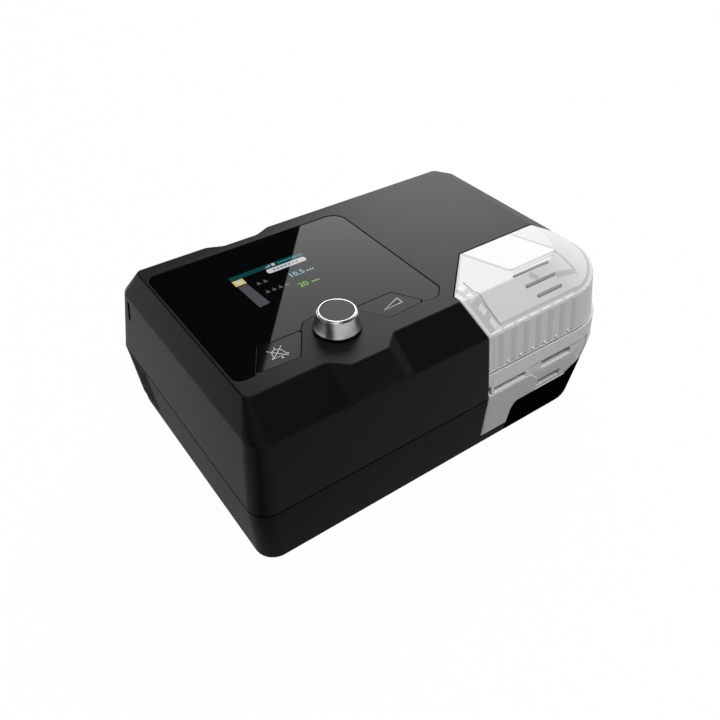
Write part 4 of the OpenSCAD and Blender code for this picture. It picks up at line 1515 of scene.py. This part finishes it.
        # Painted shade: the ribs are a greyer copy of the lid's plastic.
        Row.of(rib, RIB_SHADE, self.ribs, (self.pitch, 0, 0)).piece("lid_ribs", RIB_SHADE, "lid")
        bead = Solid.turned([(0.05, -0.4), (0.5, -0.4), (0.6, 0.0), (0.45, 0.4), (0.05, 0.5)],
                            (0, 0), 16)
        bead.thing.data.transform(Matrix.Translation((35.2, y_low - 0.25, low + 0.6)) @
                                  Matrix.Rotation(math.radians(90), 4, "X"))
        Row.of(bead, WHITE_BEADS_AND_HIGHLIGHT, self.ribs - 1, (self.pitch, 0, 0)).piece("lid_beads", WHITE_BEADS_AND_HIGHLIGHT, "lid")

    def _bars(self) -> None:
        """The three grip bars on the sloping part."""
        parts = []
        for x0, x1, y in self.bars:
            outline = circle((x0 + 0.7, y), 0.7, 8, 90, 180) + circle((x1 - 0.7, y), 0.7, 8, -90,
                                                                      180)
            rows = [[self._drape(px, py, lift) for px, py, _ in
                     outset([(px, py, 0) for px, py in outline], -inset)]
                    for inset, lift in ((0.0, -0.2), (0.0, 0.4), (0.1, 0.65), (0.3, 0.85))]
            parts.append(Solid.loft(rows))
        # Painted shade: the grip bars are grey all over, standing in for the shade along their
        # sides.
        merged("lid_bars", parts, EDGE_LINE_AND_BAR_SHADE, "lid")

    def _band(self, start: int, stop: int, low: float, high: float, lift: float) -> Solid:
        """A flat band on the lid's slope, at a set distance from the belt's edge, used both for a
        wall seen through the lid and for painted highlights.

        Args:
            start: First column of the body's rings.
            stop: Last column.
            low: Distance of its lower edge from the belt, up the slope.
            high: Distance of its upper edge.
            lift: How far it stands off.

        Returns:
            The thin solid.
        """
        belt, top = self.form.rings()[2:]
        rows = []
        for reach, out in ((low, -0.05), (low, lift), (high, lift), (high, -0.05)):
            row = []
            for a, b in zip(belt[start:stop + 1], top[start:stop + 1]):
                near = self.skin.find_nearest(a + (b - a).normalized() * reach)
                row.append(tuple(near[0] + near[1] * out))
            rows.append(row)
        n = len(rows[0])
        verts = [p for column in zip(*rows) for p in column]
        faces = [[0, 1, 2, 3], [4 * n - 1, 4 * n - 2, 4 * n - 3, 4 * n - 4]]
        faces += [[4 * k + i, 4 * k + 4 + i, 4 * k + 4 + (i + 1) % 4, 4 * k + (i + 1) % 4]
                  for k in range(n - 1) for i in range(4)]
        return Solid(verts, faces)

    @property
    def belt_y(self) -> float:
        """Where the belt's soft edge catches the light along the front."""
        return self.form.flare[0] - self.form.depth / 2 + 0.9

    def _columns(self, x: float, y: float) -> tuple[int, int]:
        """Columns of the body's rings from a place on the front to one on the right end.

        Args:
            x: Where to start along the front.
            y: Where to stop on the right end.

        Returns:
            First and last column.
        """
        belt = self.form.rings()[2]
        inside = [i for i, p in enumerate(belt) if p.x > x and p.y < y]
        return inside[0], inside[-1]

    def _lines(self) -> None:
        """Walls and steps inside the lid that show through its top, with painted highlights over
        the air guide, in the windows and along the belt's edge.
        """
        back, top = self.bay.back - 1.0, self.form.top
        # Painted highlight: a brighter patch of the lid's top over the air guide.
        duct = [(45.2, back), (84.4, back), (93.8, -57.6), (57.2, -58.6)]
        merged("lid_airway_highlight", [Solid.prism(duct, top - 0.05, top + 0.02)], AIRWAY_HIGHLIGHT, "lid")
        soft = [self._strip([(44.9, back), (55.3, -56.4), (57.5, -58.9)], 1.8),
                self._strip([(84.6, back), (93.6, -55.0), (94.6, -58.4), (99.4, -69.8)], 1.8),
                self._strip([(57.2, -58.4), (93.4, -58.3)], 1.6),
                self._strip([(56.6, -61.0), (89.5, -60.3)], 1.1),
                self._strip([(99.9, -71.2), (82.0, -70.9)], 2.6),
                self._strip([(63.4, -65.8), (69.4, -69.4)], 2.4),
                self._strip([(42.8, -30.6), (15.4, -58.0)], 0.9),
                self._strip([(21.6, -53.0), (20.4, -58.8), (20.4, -65.0), (23.4, -72.2),
                             (26.6, -79.8)], 8.0)]
        first, last = self._columns(30.5, -34.0)
        soft.append(self._band(first, last, 2.8, 4.8, 0.05))
        soft.append(self._strip([(30.8, self.belt_y + 1.75), (93.4, self.belt_y + 1.75)], 1.4))
        merged("lid_lines", soft, DOUBLE_WALL_AND_EDGE_SHADE, "lid")
        edge = [self._strip([(25.9, -51.6), (24.8, -60.5), (27.6, -71.0), (31.0, -79.4)], 0.7,
                            0.09)]
        merged("lid_strip_edge", edge, EDGE_LINE_AND_BAR_SHADE, "lid")
        # Painted highlight: brighter panes in the strip's windows.
        panes = [self._strip([(x - dx, y + 1.9), (x + dx, y - 1.9)], 3.4, 0.1)
                 for x, y, dx in ((20.8, -56.0, 0.0), (20.6, -63.4, 0.4), (23.8, -71.0, 0.8),
                                  (26.8, -77.4, 0.8))]
        panes.append(self._strip([(13.8, -60.0), (13.8, -65.3), (21.2, -81.0)], 1.0, 0.08))
        merged("lid_window_highlights", panes, AIRWAY_HIGHLIGHT, "lid")
        # Painted highlight: short white dashes along the belt's soft edge, between the ribs and
        # round the right end.
        first, last = self._columns(96.0, -20.0)
        dashes = [self._band(k, k + 1, 0.3, 1.1, 0.06) for k in range(first, last, 2)]
        for i in range(self.ribs):
            x = 22.6 + self.pitch * i
            dashes.append(self._strip([(x, self.belt_y), (x + 7.4, self.belt_y)], 0.6, 0.06))
        merged("lid_highlight_dashes", dashes, WHITE_BEADS_AND_HIGHLIGHT, "lid")


# --- Nodes that keep their CAD shape -------------------------------------------------------------

CARRIED: dict[str, Finish] = {
    "chamber_dock": BASE, "lcd_module": PANEL, "display_board": BOARD, "main_board": BOARD,
    "key_switches": ACETAL, "encoder_shaft": STEEL, "push_collar": ACETAL,
    "encoder_housing": PARTS, "board_parts": PARTS, "alarm_sounder": PARTS, "dc_socket": PARTS,
    "card_reader": ACETAL, "memory_card": PARTS, "silencer_box": NATURAL,
    "silencer_cover": NATURAL, "silencer_foam": FOAM, "blower_mounts": RUBBER,
    "volute_lower": NATURAL, "volute_upper": NATURAL, "fan_wheel": NATURAL, "fan_shaft": STEEL,
    "blower_motor": STEEL, "delivery_duct": NATURAL, "inlet_seal": SILICONE,
    "outlet_tube": BASE, "outlet_seal": SILICONE, "heater_plate": PLATE, "heater_element": FILM,
    "chamber_base_plate": PLATE, "chamber_seal": SILICONE, "lid_duct": CLEAR,
    "lid_strip": DOUBLE_WALL_AND_EDGE_SHADE, "lid_hinge_pin": STEEL, "rubber_feet": RUBBER, "casing_screws": STEEL,
}


def dress_nodes() -> None:
    """Give every shown CAD node its real material."""
    for name, finish in CARRIED.items():
        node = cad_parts.get(name)
        if node is None:
            LOG.info("no node named %s", name)
            continue
        node.data.materials.clear()
        node.data.materials.append(finish.material())


# --- Stage, lamps and camera ---------------------------------------------------------------------

@dataclass
class Studio:
    """Pale floor, plain lamps and the camera at the photograph's angle."""

    eye: Corner = (-0.2192, -0.2945, 0.3372)
    right: Corner = (0.81424, -0.58052, 0.00306)
    down: Corner = (-0.37573, -0.53100, -0.75952)
    ahead: Corner = (0.44254, 0.61728, -0.65048)
    lens: float = 36.53
    sensor: float = 36.0
    ambient: float = 0.14

    def build(self) -> None:
        """Set the camera, the world, the floor and the lamps."""
        self._camera()
        self._world()
        self._floor()
        self._lamp("key", (0.92, 1.09, 1.03), (0.0, 0.0, 0.1), (1.05, 1.05), 23)
        self._lamp("front", (0.3, -1.6, 0.9), (0.05, 0.0, 0.05), (1.2, 0.8), 0.9)
        self._lamp("top", (0.1, -0.6, 1.6), (0.0, 0.0, 0.1), (0.8, 0.8), 27, False)
        self._flags()

    def _camera(self) -> None:
        """The camera that took the photograph's view."""
        data = bpy.data.cameras.new("camera")
        data.lens = self.lens
        data.sensor_width = self.sensor
        data.sensor_fit = "HORIZONTAL"
        camera = put("camera", data)
        rows = [self.right, [-d for d in self.down], [-a for a in self.ahead]]
        turn = Matrix(rows).transposed().to_4x4()
        camera.matrix_world = Matrix.Translation(self.eye) @ turn
        bpy.context.scene.camera = camera
        bpy.context.scene.view_settings.view_transform = "Standard"

    @staticmethod
    def _seen(tree: bpy.types.NodeTree) -> bpy.types.NodeSocket:
        """One where the background itself is seen, straight, mirrored or through glass."""
        path = add(tree, "ShaderNodeLightPath")
        seen = add(tree, "ShaderNodeMath", {0: path.outputs["Is Camera Ray"],
                   1: path.outputs["Is Glossy Ray"]}, operation="MAXIMUM")
        seen = add(tree, "ShaderNodeMath", {0: seen.outputs[0],
                   1: path.outputs["Is Transmission Ray"]}, operation="MAXIMUM")
        return seen.outputs[0]

    def _world(self) -> None:
        """White where it is seen, and a plain dim fill where it lights."""
        world = bpy.data.worlds.new("studio")
        bpy.context.scene.world = world
        tree = cleared(world)
        level = add(tree, "ShaderNodeMapRange", {"Value": self._seen(tree),
                    "To Min": self.ambient, "To Max": 1.0}).outputs["Result"]
        light = add(tree, "ShaderNodeBackground", {"Color": (1, 1, 1, 1), "Strength": level})
        add(tree, "ShaderNodeOutputWorld", {"Surface": light.outputs[0]})

    def _floor(self) -> None:
        """A pale floor that keeps a faint shadow."""
        size = 3.0
        paint = bpy.data.materials.new("white sweep")
        tree = cleared(paint)
        matt = add(tree, "ShaderNodeBsdfDiffuse", {"Color": (0.25, 0.25, 0.25, 1)})
        lit = add(tree, "ShaderNodeEmission", {"Color": (1, 1, 1, 1), "Strength": 1.03})
        share = add(tree, "ShaderNodeMath", {0: self._seen(tree), 1: 0.95},
                    operation="MULTIPLY")
        both = add(tree, "ShaderNodeMixShader", {0: share.outputs[0], 1: matt.outputs[0],
                   2: lit.outputs[0]})
        add(tree, "ShaderNodeOutputMaterial", {"Surface": both.outputs[0]})
        single_face("floor", [(-size, -size, 0), (size, -size, 0), (size, size, 0),
                                       (-size, size, 0)], paint)

    @staticmethod
    def _lamp(name: str, at: Corner, to: Corner, size: Flat, power: float,
              mirrored_in: bool = True) -> None:
        """One rectangular lamp.

        Args:
            name: Its name.
            at: Where it hangs.
            to: What it points at.
            size: Its width and height.
            power: Its power in watts.
            mirrored_in: Whether glossy surfaces show it.
        """
        data = bpy.data.lights.new(name, "AREA")
        data.shape = "RECTANGLE"
        data.size, data.size_y = size
        data.energy = power
        lamp = put(name, data)
        lamp.location = at
        lamp.visible_glossy = mirrored_in
        lamp.rotation_euler = (Vector(to) - Vector(at)).to_track_quat("-Z", "Y").to_euler()

    def _flags(self) -> None:
        """Black cards seen only in reflections, which keep the glossy parts deep."""
        a, b = Vector((0.116, 0.417, 0.572)), Vector((0.387, 0.747, 0.572))
        way = (b - a).normalized()
        out = Vector((-way.y, way.x, 0))
        low, high = a - way * 0.9, b + way * 0.9
        self._flag("lens_flag", [low, low + out * 1.3, high + out * 1.3, high])
        middle = Vector((0.46, -0.72, 0.66))
        side = Vector((0.83, 0.55, 0.0)) * 0.9
        rise = Vector((-0.33, 0.5, 0.8)) * 0.6
        self._flag("front_flag", [middle - side - rise, middle + side - rise,
                                  middle + side + rise, middle - side + rise])
        self._flag("corner_flag", [(-0.150, -0.078, 0.002), (-0.118, -0.118, 0.002),
                                   (-0.300, -0.250, 0.002), (-0.340, -0.200, 0.002)])
        self._flag("knob_flag", [(-0.370, -0.060, 0.03), (-0.310, -0.290, 0.03),
                                 (-0.310, -0.290, 0.24), (-0.370, -0.060, 0.24)])

    @staticmethod
    def _flag(name: str, corners: Sequence[Sequence[float]]) -> None:
        """One black card.

        Args:
            name: Its name.
            corners: Its four corners.
        """
        cloth = bpy.data.materials.new(f"{name} cloth")
        tree = cleared(cloth)
        matt = add(tree, "ShaderNodeBsdfDiffuse", {"Color": (0.0, 0.0, 0.0, 1)})
        add(tree, "ShaderNodeOutputMaterial", {"Surface": matt.outputs[0]})
        flag = single_face(name, corners, cloth)
        flag.visible_camera = False
        flag.visible_diffuse = False
        flag.visible_shadow = False
        flag.visible_transmission = False


# --- The whole machine ---------------------------------------------------------------------------

def main() -> None:
    """Build every sub-assembly in order and write how big the model is."""
    logging.basicConfig(level=logging.INFO, format="%(message)s")
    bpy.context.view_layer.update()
    Studio().build()
    form = Form()
    bay = Bay(form)
    deck = Deck(form)
    grip = Grip(form, bay)
    Casing(form, bay, deck, grip=grip).build()
    deck.build()
    Louvres(form).build()
    grip.build()
    Chamber(form, bay, grip).build()
    dress_nodes()


if __name__ == "__main__":
    main()
